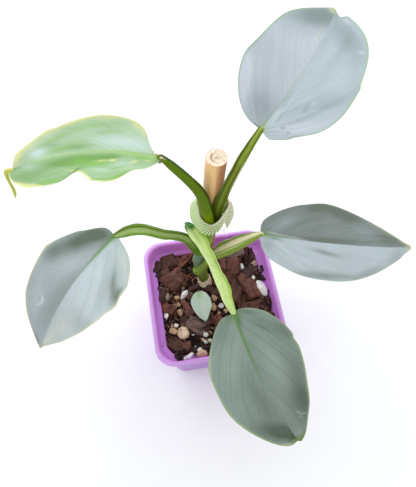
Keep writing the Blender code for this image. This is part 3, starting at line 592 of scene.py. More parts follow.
# The mix is heaped against the right and the front wall, over the ledge, round the stones that lie there
for step in range(BANK_CRUMBS):
    along, out = draw.uniform(-32, 23), draw.uniform(29.5, 35.0)
    spot = np.array((out, along) if step % 2 else (0.9 * along, -out)) * MM
    if any(np.linalg.norm(spot - np.array((x, y)) * MM) < room * MM for x, y, room in STONES_ON_BANK):
        continue
    span = draw.uniform(1.2, 3.4) * MM
    points, faces = crumb(draw, span, 1, 0.7, spot, (3.2, 5.0))
    heap = splinters if draw.random() > 0.6 else crumbs
    heap.add(points, faces, draw.random() * 0.5)

bark_finish = Finish("bark", Specular_IOR_Level=0.35)
tone = bark_finish.read("shade")
grain = bark_finish.read("grain").out(1)
fibre = bark_finish.noise(bark_finish.stretch(grain, (0.12, 1.0, 1.0)), 1100.0, 4.0, 0.65)
blotch = bark_finish.noise(grain, 210.0, 4.0, 0.6)
brown = bark_finish.mix(bark_finish.step(tone, 0.0, 0.45), tint(60, 33, 29), tint(108, 62, 49))
brown = bark_finish.mix(bark_finish.step(tone, 0.45, 0.7), brown, tint(148, 82, 60))
brown = bark_finish.mix(bark_finish.step(tone, 0.7, 0.95), brown, tint(128, 102, 94))
brown = bark_finish.mix(bark_finish.step(fibre, 0.44, 0.62) * 0.8, brown, tint(38, 24, 23))
brown = bark_finish.mix(bark_finish.step(blotch, 0.52, 0.70) * 0.45, brown, tint(142, 106, 92))
brown = bark_finish.mix(bark_finish.step(blotch, 0.46, 0.34) * 0.8, brown, tint(34, 21, 20))
bark_finish.paint(brown, 0.50 + blotch * 0.3)
bark_finish.relief(fibre + blotch * 0.5, 0.35 * MM)
bark_chips = bark.make("bark_chips", bark_finish, sharp=50)
bark_splinters = splinters.make("bark_splinters", bark_finish, sharp=60)

pumice_finish = Finish("pumice", Specular_IOR_Level=0.4, Subsurface_Weight=0.08, Subsurface_Scale=0.001)
tone = pumice_finish.read("shade")
grain = pumice_finish.read("grain").out(1)
dust = pumice_finish.noise(grain, 420.0, 5.0, 0.7)
pits = pumice_finish.cells(grain, 1300.0)
pale = pumice_finish.mix(pumice_finish.step(tone, 0.15, 0.42), tint(240, 236, 236), tint(226, 202, 172))
pale = pumice_finish.mix(pumice_finish.step(tone, 0.45, 0.62), pale, tint(198, 158, 124))
pale = pumice_finish.mix(pumice_finish.step(tone, 0.72, 0.88), pale, tint(160, 136, 128))
stained = pumice_finish.step(dust, 0.50, 0.66) * (0.35 + tone * 0.5)
pale = pumice_finish.mix(stained, pale, tint(110, 78, 62))
pumice_finish.paint(pale, 0.55 + dust * 0.3)
pumice_finish.relief(pits + dust, 0.12 * MM)
grains = pumice.make("pumice_grains", pumice_finish, sharp=60)

peat = Finish("peat", Specular_IOR_Level=0.3)
spot = peat.place()
lumpy = peat.noise(spot, 420.0, 6.0, 0.7)
flecks = peat.step(peat.noise(spot, 1100.0, 2.0), 0.60, 0.70)
earth = peat.mix(lumpy, tint(14, 9, 9), tint(52, 35, 30))
peat.paint(peat.mix(flecks * 0.5, earth, tint(104, 72, 58)), 0.95 - lumpy * 0.35)
peat.relief(lumpy, 0.8 * MM)
crumb_pieces = crumbs.make("peat_crumbs", peat, sharp=60)

mix_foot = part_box("potting_mix")[0][2]
TURNS = np.linspace(0, 2 * math.pi, 168, endpoint=False)


def peat_ring(share, height):
    """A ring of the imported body, square with round corners, as seen from the middle."""
    half = (inner_half(height) - 0.6 * MM) * share
    corner = RIM_CORNER * half / POT_RIM
    c, s = np.abs(np.cos(TURNS)), np.abs(np.sin(TURNS))
    straight = half / np.maximum(c, s)
    reach = half - corner
    towards = reach * (c + s)
    rounded = towards + np.sqrt(np.maximum(towards ** 2 - 2 * reach ** 2 + corner ** 2, 0))
    far = np.where(straight * np.minimum(c, s) > reach, rounded, straight)
    return np.column_stack((far * np.cos(TURNS), far * np.sin(TURNS), np.full(len(TURNS), height)))


def ease(value, low, high):
    """0 at low and 1 at high, with a smooth rise between them."""
    t = min(max((value - low) / (high - low), 0), 1)
    return t * t * (3 - 2 * t)


rings = [peat_ring(0.95, mix_foot), peat_ring(1, mix_foot + 2 * MM), peat_ring(1, SOIL_LEVEL - 4 * MM)]
for share in np.linspace(1, 0.03, 40):
    ring = peat_ring(share, SOIL_LEVEL)
    for point in ring:
        place = Vector(point)
        on_right = ease(point[0], 20 * MM, 29 * MM) * ease(point[1], 27 * MM, 18 * MM)
        in_front = ease(-point[1], 22 * MM, 30 * MM) * ease(point[0], -33 * MM, -26 * MM)
        heaped = max(on_right, in_front) * ease(share, 0.84, 0.98)
        point[:2] *= 1 + 0.066 * heaped
        point[2] += 4.4 * MM * heaped
        point[2] += 1.6 * MM * noise.noise(place * 140) + 1.0 * MM * noise.noise(place * 480) - 0.6 * MM
    rings.append(ring)
peat_body = build("peat_body", *loft(rings), peat, sharp=70)

FIBRES = 95
FIBRES_BY_CHIP = 38                     # so many of them lie round the big chip on the right


def coir_fibre(draw, start, heading, span, thick):
    """The route and the radii of a thin curved fibre that lies on the mix."""
    bend = draw.uniform(-1.4, 1.4)
    place, route = np.array(start), []
    for step in range(9):
        route.append(place.copy())
        rise = math.sin(step / 8 * math.pi) * 0.25 - 0.05
        place = place + span / 8 * np.array((math.cos(heading), math.sin(heading), rise))
        heading += bend / 8
    return route, [thick * (1 - 0.6 * abs(step / 4 - 1) ** 3) for step in range(9)]


def tube(route, radii, sides):
    """Rings round a route, with a radius for each of its points."""
    route = np.asarray(route)
    along = np.gradient(route, axis=0)
    along /= np.linalg.norm(along, axis=1)[:, None]
    side = unit(np.cross(along[0], (0, 1, 0.01)))
    turns = np.arange(sides) * 2 * math.pi / sides
    rings = []
    for point, forward, radius in zip(route, along, radii):
        side = unit(side - forward * side.dot(forward))
        other = np.cross(forward, side)
        rings.append(point + radius * (np.outer(np.cos(turns), side) + np.outer(np.sin(turns), other)))
    return np.array(rings)


coir = Finish("coir", Roughness=0.7)
coir.paint(coir.mix(coir.noise(coir.place(), 300.0), tint(88, 48, 36), tint(150, 96, 70)))
strands = Heap()
draw = random.Random(MIX_SEED + 2)
for step in range(FIBRES):
    near_chip = step < FIBRES_BY_CHIP
    middle = (15, 4) if near_chip else (0, 0)
    spread = 9 if near_chip else 30
    start = np.array((middle[0] + draw.uniform(-1, 1) * spread, middle[1] + draw.uniform(-1, 1) * spread,
                      65.8 + draw.uniform(0, 2.2))) * MM
    route, radii = coir_fibre(draw, start, draw.uniform(0, 6.28), draw.uniform(4, 12) * MM,
                              draw.uniform(0.06, 0.12) * MM)
    strands.add(*loft(tube(route, radii, 5)), 0.5)
coir_strands = strands.make("coir_strands", coir)

for piece in (peat_body, bark_chips, bark_splinters, grains, crumb_pieces, coir_strands):
    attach(piece, "root")
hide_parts("potting_mix")

# Bamboo stake
# A length of cane, sawn square at the top, where the cut wall shows pale and ragged round a small
# pithy hollow. It is pushed into the mix behind the stem.
STAKE_FOOT = np.array((-3.8, 24.3, 12)) * MM
STAKE_TOP = np.array((2.9, 28.1, 178.1)) * MM
STAKE_RADIUS = 5.1 * MM
JOINT_AT = 0.42                         # share of the stake's length below the bamboo's joint
STAKE_SIDES = 64


def bump(values, place, width):
    """1 at the place, and softly down to 0 on either side of it."""
    return np.exp(-((values - place) / width) ** 2)


steps = np.unique(np.concatenate((np.linspace(0, 1, 60), JOINT_AT + np.linspace(-0.012, 0.012, 13))))
axis = unit(STAKE_TOP - STAKE_FOOT)
route = STAKE_FOOT + np.outer(steps, STAKE_TOP - STAKE_FOOT)
swell = 0.35 * bump(steps, JOINT_AT, 0.004) - 0.2 * bump(steps - JOINT_AT, 0.007, 0.002)
radii = STAKE_RADIUS + (swell - 0.10 - 0.15 * (1 - steps)) * MM
wall = tube(route, radii, STAKE_SIDES)
# From the cut's edge to its middle: share of the radius, and how far the wood stands up there, in mm
cut_steps = ((0.97, 0.12), (0.93, 0.10), (0.86, -0.02), (0.78, 0.1), (0.70, -0.05), (0.62, 0.1), (0.52, -0.1),
             (0.42, -0.2), (0.34, -0.15), (0.24, -0.05), (0.12, 0.0), (0.03, -0.05))
end = []
draw = random.Random(5)
for share, lift in cut_steps:
    ring = STAKE_TOP + (wall[-1] - STAKE_TOP) * share
    fray = np.array([draw.uniform(-0.22, 0.22) * (1 if share < 0.9 else 0.35) for _ in range(STAKE_SIDES)])
    end.append(ring + np.outer((lift - 0.15 + fray) * MM, axis))
rings = np.concatenate((wall, np.array(end)))
sawn = np.repeat([0.0] * len(wall) + [share for share, _ in cut_steps], STAKE_SIDES)

cane = Finish("bamboo", Specular_IOR_Level=0.45)
spot = cane.place()
cut_share = cane.read("sawn")
is_cut = cane.step(cut_share, 0.0, 0.02)
streaks = cane.noise(cane.stretch(spot, (1.0, 1.0, 0.035)), 1500.0, 4.0, 0.6)
stains = cane.noise(cane.stretch(spot, (1.0, 1.0, 0.4)), 120.0, 4.0)
specks = cane.step(cane.noise(cane.stretch(spot, (1.0, 1.0, 0.5)), 900.0, 1.0), 0.70, 0.76)
x, _, z = cane.parts(spot)
# Painted shade: the cane's right side is painted a darker brown and its left side paler, as the light falls.
painted_side_shade = cane.step(x - z * 0.036 + (streaks - 0.5) * 3 * MM, -5.5 * MM, -2.0 * MM)
skin = cane.mix(painted_side_shade, tint(255, 210, 144), tint(170, 112, 70))
skin = cane.mix(streaks * 0.2, skin, tint(230, 174, 112))
skin = cane.mix(cane.step(stains, 0.45, 0.7) * 0.2, skin, tint(186, 128, 76))
skin = cane.mix(specks * 0.8, skin, tint(120, 80, 52))
sawdust = cane.noise(spot, 1500.0, 5.0, 0.7)
wood = cane.mix(cane.step(sawdust, 0.3, 0.55), tint(236, 196, 164), tint(255, 242, 220))
crescent = cane.step(abs(cut_share - 0.5 + (sawdust - 0.5) * 0.3), 0.14, 0.05)
crescent = crescent * cane.step(x, 3.5 * MM, 0.5 * MM)
wood = cane.mix(crescent * 0.75, wood, tint(184, 122, 86))
specks = cane.step(cane.noise(spot, 700.0, 3.0), 0.56, 0.66) * 0.4 + cane.step(cut_share, 0.88, 0.97) * 0.4
wood = cane.mix(specks, wood, tint(206, 148, 112))
cane.paint(cane.mix(is_cut, skin, wood), 0.42 + streaks * 0.12 + is_cut * 0.35)
cane.relief(streaks * (1 - is_cut) * 0.25 + sawdust * is_cut, 0.3 * MM)
stake = build("bamboo_cane", *loft(rings), cane, sharp=50, sawn=sawn)
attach(stake, "root")
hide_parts("bamboo_stake")

# Stem
# The green climbing stem, a little thicker at each node, where an old leaf has left a ring scar.
# It comes out of the mix inside its dry sheath and ends where the two top stalks fork.
STEM_ROUTE = np.array((
    (-1.0, 12.0, 36), (-2.0, 12.8, 52), (-3.0, 13.8, 64), (-5.2, 15.6, 76), (-6.4, 17.0, 89),
    (-5.4, 17.6, 101), (-3.6, 17.2, 113), (-2.4, 16.2, 123), (-2.1, 15.3, 136),
)) * MM
STEM_RADIUS = 3.5 * MM
NODE_HEIGHTS = (75 * MM, 92 * MM, 104 * MM, 117 * MM, 129 * MM)
STEM_SIDES = 48


def smooth_route(points, count):
    """Evenly spaced points on a smooth curve that runs through a route's own points."""
    ends = np.vstack((2 * points[0] - points[1], points, 2 * points[-1] - points[-2]))
    fine = []
    for a, b, c, d in zip(ends, ends[1:], ends[2:], ends[3:]):
        for t in np.linspace(0, 1, 12, endpoint=False):
            fine.append(0.5 * (2 * b + (c - a) * t + (2 * a - 5 * b + 4 * c - d) * t ** 2
                               + (3 * b - a - 3 * c + d) * t ** 3))
    fine = np.array(fine + [points[-1]])
    run = np.concatenate(([0], np.cumsum(np.linalg.norm(np.diff(fine, axis=0), axis=1))))
    wanted = np.linspace(0, run[-1], count)
    return np.column_stack([np.interp(wanted, run, column) for column in fine.T])


route = smooth_route(STEM_ROUTE, 190)
heights = route[:, 2]
radii = STEM_RADIUS * np.minimum(1.0, 0.55 + (heights - STEM_ROUTE[0][2]) / (40 * MM))
scar = np.zeros(len(route))
for node in NODE_HEIGHTS:
    above = heights - node
    radii += 0.5 * MM * bump(above, 0, 2 * MM)
    radii -= 0.25 * MM * bump(above, 1.0 * MM, 0.45 * MM)
    scar = np.maximum(scar, bump(above, 1.0 * MM, 0.6 * MM))
radii -= 0.15 * MM
rings = tube(route, radii, STEM_SIDES)
for k, ring in enumerate(rings):
    for i, point in enumerate(ring):
        grow = 0.12 * noise.noise(Vector(point) * 300) + 0.05 * math.sin(9 * 2 * math.pi * i / STEM_SIDES)
        ring[i] = point + (point - route[k]) * grow * 0.25

green = Finish("stem_green", Specular_IOR_Level=0.5, Subsurface_Weight=0.08, Subsurface_Scale=0.002,
               Subsurface_Radius=(0.4, 0.8, 0.2))
spot = green.place()
x, _, z = green.parts(spot)
scarred = green.read("scar")
mottle = green.noise(spot, 260.0, 4.0, 0.6)
# Painted shade: a blue-grey patch is painted on the stem's left side, between 84 and 112 mm high.
painted_blue_shade = green.step(mottle * 3 * MM - x, 4.2 * MM, 6.2 * MM) * green.step(z, 84 * MM, 90 * MM)
painted_blue_shade = painted_blue_shade * green.step(z, 112 * MM, 106 * MM)
skin = green.mix(mottle, tint(80, 108, 26), tint(128, 156, 52))
skin = green.mix(green.step(z, 110 * MM, 118 * MM) * 0.8, skin, tint(122, 164, 30))
skin = green.mix(painted_blue_shade * 0.85, skin, tint(100, 130, 108))
skin = green.mix(green.step(z, 84 * MM, 74 * MM) * 0.6, skin, tint(104, 118, 44))
skin = green.mix(scarred * green.step(mottle, 0.3, 0.6) * 0.85, skin, tint(134, 104, 70))
green.paint(skin, 0.40 + mottle * 0.18 + painted_blue_shade * 0.15)
green.relief(green.noise(green.stretch(spot, (1.0, 1.0, 0.15)), 1300.0, 3.0) + scarred, 0.12 * MM)
stem = build("climbing_stem", *loft(rings), green, sharp=60, scar=np.repeat(scar, STEM_SIDES))
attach(stem, "root")
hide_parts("stem")

# Base sheath
# The dry, papery remains of the first leaf's base, loose and wrinkled round the stem's foot, with a
# torn upper edge and an older layer outside it.
SHEATH_HEIGHTS = (57 * MM, 67.5 * MM)
SHEATH_WALL = 1.0 * MM
SHEATH_LEAN = 3.6 * MM                  # how far its foot stands out in front of the stem
SHEATH_SIDES = 90

paper = Finish("dry_sheath", Roughness=0.75, Subsurface_Weight=0.1, Subsurface_Scale=0.001)
spot = paper.place()
veins = paper.noise(paper.stretch(spot, (1.0, 1.0, 0.12)), 1500.0, 4.0, 0.65)
patches = paper.noise(spot, 330.0, 4.0)
x, _, _ = paper.parts(spot)
straw = paper.mix(veins, tint(248, 208, 172), tint(255, 242, 218))
straw = paper.mix(paper.step(x + patches * 6 * MM, 1.6 * MM, 4.6 * MM) * 0.7, straw, tint(178, 130, 92))
straw = paper.mix(paper.step(patches, 0.55, 0.68) * 0.25, straw, tint(160, 120, 84))
paper.paint(straw)
paper.relief(veins, 0.12 * MM)
on_stem = smooth_route(STEM_ROUTE, 400)
on_stem = on_stem[(on_stem[:, 2] >= SHEATH_HEIGHTS[0]) & (on_stem[:, 2] <= SHEATH_HEIGHTS[1])]
sheath = Heap()
for layer, (top_share, out) in enumerate(((1.0, 0.0), (0.72, 0.45))):
    length = int(len(on_stem) * top_share)
    shares = np.linspace(0, 1, length)
    outer = STEM_RADIUS + 1.3 * SHEATH_WALL - (SHEATH_WALL - 0.3 * MM) * shares * top_share + (out - 0.3) * MM
    rings = tube(on_stem[:length], outer, SHEATH_SIDES)
    turns = np.arange(SHEATH_SIDES) * 2 * math.pi / SHEATH_SIDES
    wrinkle = 0.28 * np.sin(11 * turns + 2 * layer) + 0.14 * np.sin(23 * turns + 1)
    wrinkle += 0.10 * np.sin(37 * turns)
    tear = 0.9 * np.sin(3 * turns + 1.2 + layer) + 0.5 * np.sin(8 * turns + layer) + 0.3 * np.sin(21 * turns)
    for k, ring in enumerate(rings):
        share = k / (length - 1)
        centre = on_stem[k]
        ring -= np.array((0, SHEATH_LEAN * (1 - share), 0))
        away = (ring - centre) / np.linalg.norm(ring - centre, axis=1)[:, None]
        ring -= away * (np.maximum(wrinkle, -0.2) * MM * (0.4 + 0.6 * share))[:, None]
        ring[:, 2] += tear * MM * share ** 3 * 0.8
    inner = rings[::-1].copy()
    for k, ring in enumerate(inner):
        centre = on_stem[length - 1 - k]
        away = (ring - centre) / np.linalg.norm(ring - centre, axis=1)[:, None]
        ring -= away * 0.35 * MM
    skin = np.concatenate((rings, inner))
    faces = grid_faces(len(skin) + 1, SHEATH_SIDES, closed=True) % (len(skin) * SHEATH_SIDES)
    sheath.add(skin.reshape(-1, 3), faces.tolist(), 0.5)
sheath = sheath.make("papery_sheath", paper, sharp=70)
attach(sheath, "root")
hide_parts("base_sheath")

# Leaf blades
# Each blade is thin and firm, folded a little along its midrib and cupped towards its margins.
# Side veins leave the midrib at a low angle and arch to the margin. The grown leaves are silver:
# an air layer under their skin gives them a soft blue shine. The youngest is still yellow-green.
#
# A margin is a row of points from heel to tip: share of the blade's length, mm out from the midrib.
# Silver and painted sheen gives how silvery the left and the right half are: partly the leaf's own
# silver, partly painted sheen and shade from how each half meets the light. Patches change that, with
# more painted sheen and shade; pale, straw and dark are marks of those colours, and bends rise from the
# surface by mm. Each of these is a soft oval: its half (1 left, -1 right), mm from the heel, mm out,
# half length and width, turn in degrees, and change.
BLADES = {
    "leaf_upper_right": dict(
        heel=(22.2, 31.0, 190), tip=(75.4, 97.2, 190.2), arch=2.2, sweep=-2.7, bank=3.5, fold=14, cup=6,
        neck=1.5, wave=(0.3, 0.4, 2.5, 0.4), tip_lift=0.0,
        left=((0.000, 6.5), (0.028, 12.4), (0.090, 18.1), (0.186, 23.1), (0.300, 25.9), (0.409, 25.3),
              (0.676, 22.2), (0.826, 15.9), (0.998, 2.8)),
        right=((-0.029, 4.8), (-0.025, 7.6), (0.009, 13.1), (0.033, 15.1), (0.111, 23.2), (0.232, 27.2),
               (0.393, 27.9), (0.440, 27.0), (0.631, 24.2), (0.751, 20.4), (0.860, 14.5), (0.937, 8.7),
               (0.954, 6.4), (0.944, 3.2)),
        silver=(0.72, 0.56),
        patches=((1, 74.9, 5.1, 22, 8.3, -48, -0.85), (1, 11.5, 17.5, 12, 2.7, 28, 0.4),
                 (-1, 65.7, 10, 18, 6.9, -37, -0.4), (1, 9.2, 5.9, 11, 6.6, 40, -0.4),
                 (-1, 20, 0, 7.3, 4.7, -5, -0.2), (1, 19.1, 21.3, 9, 3.7, 27, 0.25),
                 (-1, 23.4, 18.6, 11, 3.9, 46, -0.25), (-1, 13.7, 14.6, 8.9, 2.7, 48, -0.15),
                 (-1, 7.4, 14.6, 8.8, 2.7, 51, 0.25), (-1, 48.8, 10.6, 18, 3.5, 4, -0.15),
                 (-1, 40.4, 23.9, 15, 4.1, -22, -0.12), (-1, 53.2, 1.8, 17, 3, 0, -0.15)),
        pale=((-1, 76.4, 7.5, 2.5, 1, -50, 0.35), (-1, 70.8, 12.8, 3.5, 0.61, -38, 0.2),
              (-1, 56, 20.4, 1.4, 0.93, -74, 0.35), (-1, 21.2, 12.8, 1.3, 0.64, 25, 0.35),
              (-1, 8.7, 2, 3.9, 0.76, -3, 0.3), (-1, 18.5, 3.2, 6.2, 0.43, 0, 0.25)),
        straw=((1, 83.2, 1.2, 2.6, 1.7, -15, 0.7), (1, 61.8, 2.6, 8.3, 0.48, 0, 0.3)),
        dark=((-1, 4.7, 8, 1, 0.52, 68, 1), (-1, 3.4, 11.3, 0.83, 0.51, 70, 0.9),
              (-1, 16.6, 11.5, 1.8, 0.61, 14, 0.5), (1, -0.2, 2, 2.6, 0.92, -80, 0.7),
              (-1, 2.9, 14.6, 3.2, 0.52, 56, 0.6), (-1, 9, 3.9, 4.3, 0.49, 3, 0.35),
              (-1, 16.5, 7.2, 2.7, 0.42, 21, 0.3), (1, 74.9, 5.1, 16, 4.5, -50, 0.45),
              (-1, 78.9, 0, 5, 3.6, 42, 0.35), (-1, 64.6, 12.2, 6.5, 2.5, -41, 0.15)),
        bends=((-1, 17.2, 11.6, 3.2, 1.5, 11, -0.25), (-1, 19.6, 17.8, 5.6, 2.2, 49, -0.25),
               (-1, 2.6, 7.9, 4.2, 2.1, 67, 0.25))),
    "leaf_right": dict(
        heel=(30.1, 18.0, 112), tip=(119.3, 1.0, 98.3), arch=2, sweep=-3.1, bank=3, fold=17, cup=8,
        neck=1.3, wave=(0.3, 0.3, 2, 1.0), tip_lift=0.6,
        left=((-0.014, 2.9), (-0.002, 8.3), (0.066, 13.7), (0.150, 17.9), (0.239, 20.6), (0.393, 22.7),
              (0.585, 18.6), (0.795, 11.2), (0.969, 2.6), (0.997, 1.5)),
        right=((-0.006, 2.9), (0.005, 10.1), (0.053, 16.9), (0.169, 23.6), (0.249, 26.4), (0.388, 27.8),
               (0.492, 26.7), (0.585, 23.6), (0.697, 18.5), (0.871, 9.1), (0.925, 5.4), (0.997, 1.4)),
        silver=(0.22, 0.72),
        patches=((1, 11.1, 7.8, 9.4, 2.9, 33, 0.3), (1, 47.9, 18.6, 8.9, 4.1, -12, -0.5),
                 (1, 33.2, 20.7, 9.9, 2.9, 6, -0.35), (1, 36.8, 1.3, 24, 1.8, 3, -0.3),
                 (1, 75, 5.7, 9.2, 3.1, -14, -0.2), (1, 61.6, 9.2, 11, 2.4, -7, 0.12),
                 (-1, 36.3, 7.3, 8.8, 1.9, 11, -0.55), (-1, 32.8, 24.5, 20, 2.9, -3, -0.5),
                 (-1, 59.9, 18.7, 13, 2.4, -27, -0.35), (-1, 78.9, 7.1, 7.8, 3.3, -39, -0.3),
                 (-1, 3.7, 7.1, 5.3, 3.3, -84, -0.25)),
        pale=((1, 7.9, 1.2, 6.3, 0.77, -5, 0.55), (1, 19.6, 0.7, 5.8, 0.73, -4, 0.45),
              (-1, 13.1, 8.9, 8.2, 0.56, 50, 0.25), (-1, 26.2, 15.3, 8.3, 0.61, 27, 0.2),
              (-1, 18.6, 16.5, 6.4, 0.58, 40, 0.2)),
        straw=((1, 87.7, 3.2, 3.8, 0.82, -26, 0.8), (1, 79.1, 7.9, 5.2, 0.69, -24, 0.6),
               (1, 68.9, 12.5, 5.9, 0.61, -19, 0.35), (1, 90.7, 0.4, 2.2, 1.8, 36, 0.5)),
        dark=((-1, 7, 1.6, 4.5, 1.1, 4, 0.9), (1, 2.8, 11.7, 8.1, 0.57, 39, 0.3),
              (1, 2, 2.3, 3.5, 0.69, 40, 0.5)),
        bends=((-1, 36.3, 7.3, 7.7, 2.4, 10, -0.2),)),
    "leaf_front": dict(
        heel=(5.1, -25.0, 112), tip=(28.2, -89.5, 84.3), arch=7, sweep=-4.2, bank=3.5, fold=15, cup=8.5,
        neck=1.5, wave=(0.7, 0.5, 3, 0.2), tip_lift=2.0,
        left=((-0.014, 1.6), (-0.005, 7.6), (0.047, 14.7), (0.114, 19.3), (0.194, 22.8), (0.266, 24.6),
              (0.302, 24.2), (0.379, 24.9), (0.547, 22.4), (0.770, 16.8), (0.889, 11.7), (0.976, 6.4),
              (1.012, 1.9)),
        right=((0.009, 6.0), (0.024, 8.7), (0.090, 14.2), (0.229, 22.2), (0.311, 24.7), (0.438, 24.8),
               (0.542, 24.0), (0.631, 21.7), (0.748, 17.2), (0.892, 10.9), (0.970, 5.8)),
        silver=(0.56, 0.60),
        patches=((-1, 6.8, 9.6, 8.1, 4.4, 50, -0.2), (-1, 44.3, 8.1, 11, 6.2, -17, -0.1),
                 (-1, 22.4, 10.7, 10, 5.2, 38, 0.2), (-1, 40.5, 5.5, 15, 3.8, -5, -0.2),
                 (-1, 65, 3.5, 16, 3.8, -41, -0.75), (1, 16.9, 21.7, 7, 3.6, 27, -0.3),
                 (1, 32.9, 9.4, 13, 5.2, 3, 0.35), (1, 54, 2.8, 9.1, 2.1, 2, 0.2),
                 (1, 52.7, 14.4, 15, 5.6, -13, -0.5), (1, 71.2, 3.2, 3.2, 2.1, -46, 0.2),
                 (1, 8.9, 12.4, 8.1, 3, 40, -0.2)),
        pale=((1, 60.5, 8.6, 1.7, 0.51, 32, 0.6), (1, 62.7, 10.5, 1.6, 0.57, 77, 0.5),
              (1, 63.8, 8.1, 1.4, 0.46, 43, 0.4)),
        straw=((-1, 70, 6.6, 4.8, 0.58, -46, 0.6), (1, 48.1, 20.1, 7.7, 0.5, -19, 0.35),
               (-1, 18.2, 22.1, 9.2, 0.71, 28, 0.3)),
        dark=((-1, 70.8, 1.6, 3.6, 1.2, -61, 1.4), (1, 11.2, 11.4, 6.1, 0.81, 44, 0.5),
              (-1, 65.8, 5.3, 4.3, 1.2, -51, 0.7), (1, 2.4, 0.3, 4.9, 1.9, 6, 1.1),
              (-1, 1.5, 3.4, 3.3, 1.5, 54, 0.5), (1, 1.8, 7.4, 3.7, 0.99, 61, 0.6)),
        bends=((1, 33.1, 4.8, 7.2, 4.1, 3, 0.15), (1, 19.6, 24.3, 2.6, 2.5, -56, 0.4),
               (1, 25.2, 24.6, 2.6, 2.5, -59, -0.4), (-1, 70.7, 1.4, 3.6, 1.9, -59, -0.6))),
    "leaf_left": dict(
        heel=(-50.9, 25.0, 122), tip=(-100.4, -19.8, 90.1), arch=8.3, sweep=-1.4, bank=-7, fold=14, cup=8,
        neck=1.7, wave=(0.9, 0.3, 3.5, 2.2), tip_lift=1.0,
        left=((-0.006, 2.0), (0.034, 12.7), (0.094, 19.8), (0.182, 25.6), (0.213, 27.1), (0.288, 27.3),
              (0.355, 28.3), (0.441, 26.0), (0.552, 23.8), (0.810, 12.7)),
        right=((-0.002, 5.1), (0.025, 8.7), (0.118, 14.1), (0.152, 16.3), (0.301, 22.1), (0.370, 22.9),
               (0.594, 20.0), (0.690, 17.3), (0.840, 10.4), (0.999, 1.1)),
        silver=(0.80, 0.78),
        patches=((-1, 11.4, 10.7, 13, 4.7, 27, -0.9), (-1, 25.5, 18.7, 5.5, 4.1, 6, -0.4),
                 (-1, 4.4, 5.1, 7.1, 3.5, 60, -0.4), (-1, 24.4, 6.8, 11, 3.6, 28, 0.15),
                 (-1, 30.1, 0.4, 13, 3.9, 4, -0.2), (-1, 49.7, 2.8, 15, 4.7, 0, -0.25),
                 (1, 19, 19.7, 8.5, 2.9, 44, -0.5), (1, 22, 26.2, 4.4, 3.2, 16, -0.6),
                 (1, 25.7, 17.3, 7.1, 3.1, 31, -0.15), (-1, 44.6, 13.6, 10, 2.5, -19, 0.15)),
        pale=((-1, 47.7, 9.4, 1.6, 0.62, -37, 1), (-1, 49.9, 9.1, 1.2, 0.52, 12, 0.9),
              (-1, 51.3, 9.9, 0.93, 0.48, 52, 0.6)),
        straw=((1, 7, 15, 7, 2.5, 59, 0.3), (1, 56.2, 6.8, 12, 5, -26, 0.35),
               (1, 68.6, 1.7, 5.7, 2.7, -35, 0.6), (-1, 24, 22.5, 4.5, 0.76, 13, 0.7),
               (-1, 33.3, 22.1, 5.4, 0.74, -6, 0.5)),
        dark=((-1, 70.7, 4, 4.5, 1.4, -34, 1), (1, 16.9, 18.1, 4.9, 0.89, 44, 0.4),
              (1, 19.6, 25.3, 2.4, 1.5, -5, 0.8), (-1, 6.6, 1.3, 5.9, 1.2, 5, 0.4),
              (-1, 1, 1.4, 2.5, 1.6, 15, 0.5)),
        bends=((1, 22, 26.2, 4.8, 3.8, 15, -0.7), (1, 14.5, 25.2, 4.6, 2.6, 57, 0.3),
               (-1, 9.7, 11.8, 9.4, 3.1, 29, 0.3))),
    "leaf_upper_left": dict(
        heel=(-21.9, 26.2, 186), tip=(-90.4, 39.8, 171), arch=3.2, sweep=-4.1, bank=0, fold=10, cup=16,
        neck=1.6, wave=(1.4, 0.5, 3, 0.9), tip_lift=0.0,
        left=((0.001, 2.9), (0.042, 7.1), (0.072, 8.7), (0.137, 10.7), (0.218, 16.6), (0.327, 19.3),
              (0.362, 18.3), (0.479, 11.1), (0.540, 12.3), (0.592, 16.8), (0.654, 19.2), (0.701, 19.1),
              (0.783, 16.4), (0.931, 8.9)),
        right=((0.070, 2.6), (0.106, 7.9), (0.132, 12.2), (0.223, 15.8), (0.436, 17.3), (0.638, 13.8),
               (0.730, 12.9), (0.897, 7.2), (0.943, 3.0), (0.957, 0.6)),
        silver=(0.38, 0.70),
        patches=((-1, 49.4, 6.2, 5.5, 2.9, -3, -0.25), (1, 52.9, 7.8, 7.2, 3.2, -22, -0.1),
                 (-1, 27.4, 10.8, 8.5, 1.9, -5, -0.05), (-1, 36.6, 3.1, 7.2, 1.5, -1, -0.4),
                 (1, 36.7, 4.5, 13, 2.5, 1, -0.6), (1, 21.9, 3.1, 6.1, 1.9, 6, -0.35),
                 (1, 61, 8, 8.9, 3.2, -28, -0.1), (1, 10.4, 8.7, 5.9, 1.9, 13, 0.3),
                 (-1, 59.4, 1.7, 4.5, 3.5, 51, -0.2)),
        pale=((-1, 31.7, 10.2, 5.6, 1.9, -5, 0.18), (-1, 18.2, 5.3, 10, 2.8, 3, 0.9),
              (-1, 55.3, 3.9, 4.6, 2.3, 0, 0.85), (1, 59.3, 2.2, 7.7, 2, -32, 0.3),
              (-1, 9.3, 2.9, 5.2, 2.2, 16, 0.4), (1, 14.6, 6.8, 5.1, 1.9, 17, 0.45),
              (1, 21.7, 11.4, 3.8, 1.4, 11, 0.35)),
        straw=((-1, 12, 13.1, 3.9, 1.3, 35, 0.7), (-1, 23.5, 16.1, 7.4, 1.1, 2, 0.6),
               (-1, 38.1, 15.2, 6.4, 1.2, -16, 0.6), (-1, 48.9, 12.6, 6.1, 1.4, -10, 0.6),
               (-1, 58.6, 9.4, 5.1, 2.1, -27, 0.6), (-1, 65, 4.6, 4.4, 2.1, -51, 1),
               (1, 24.2, 6, 1.7, 0.69, 20, 1.1), (1, 19.3, 5.1, 1.7, 0.63, 11, 1.1),
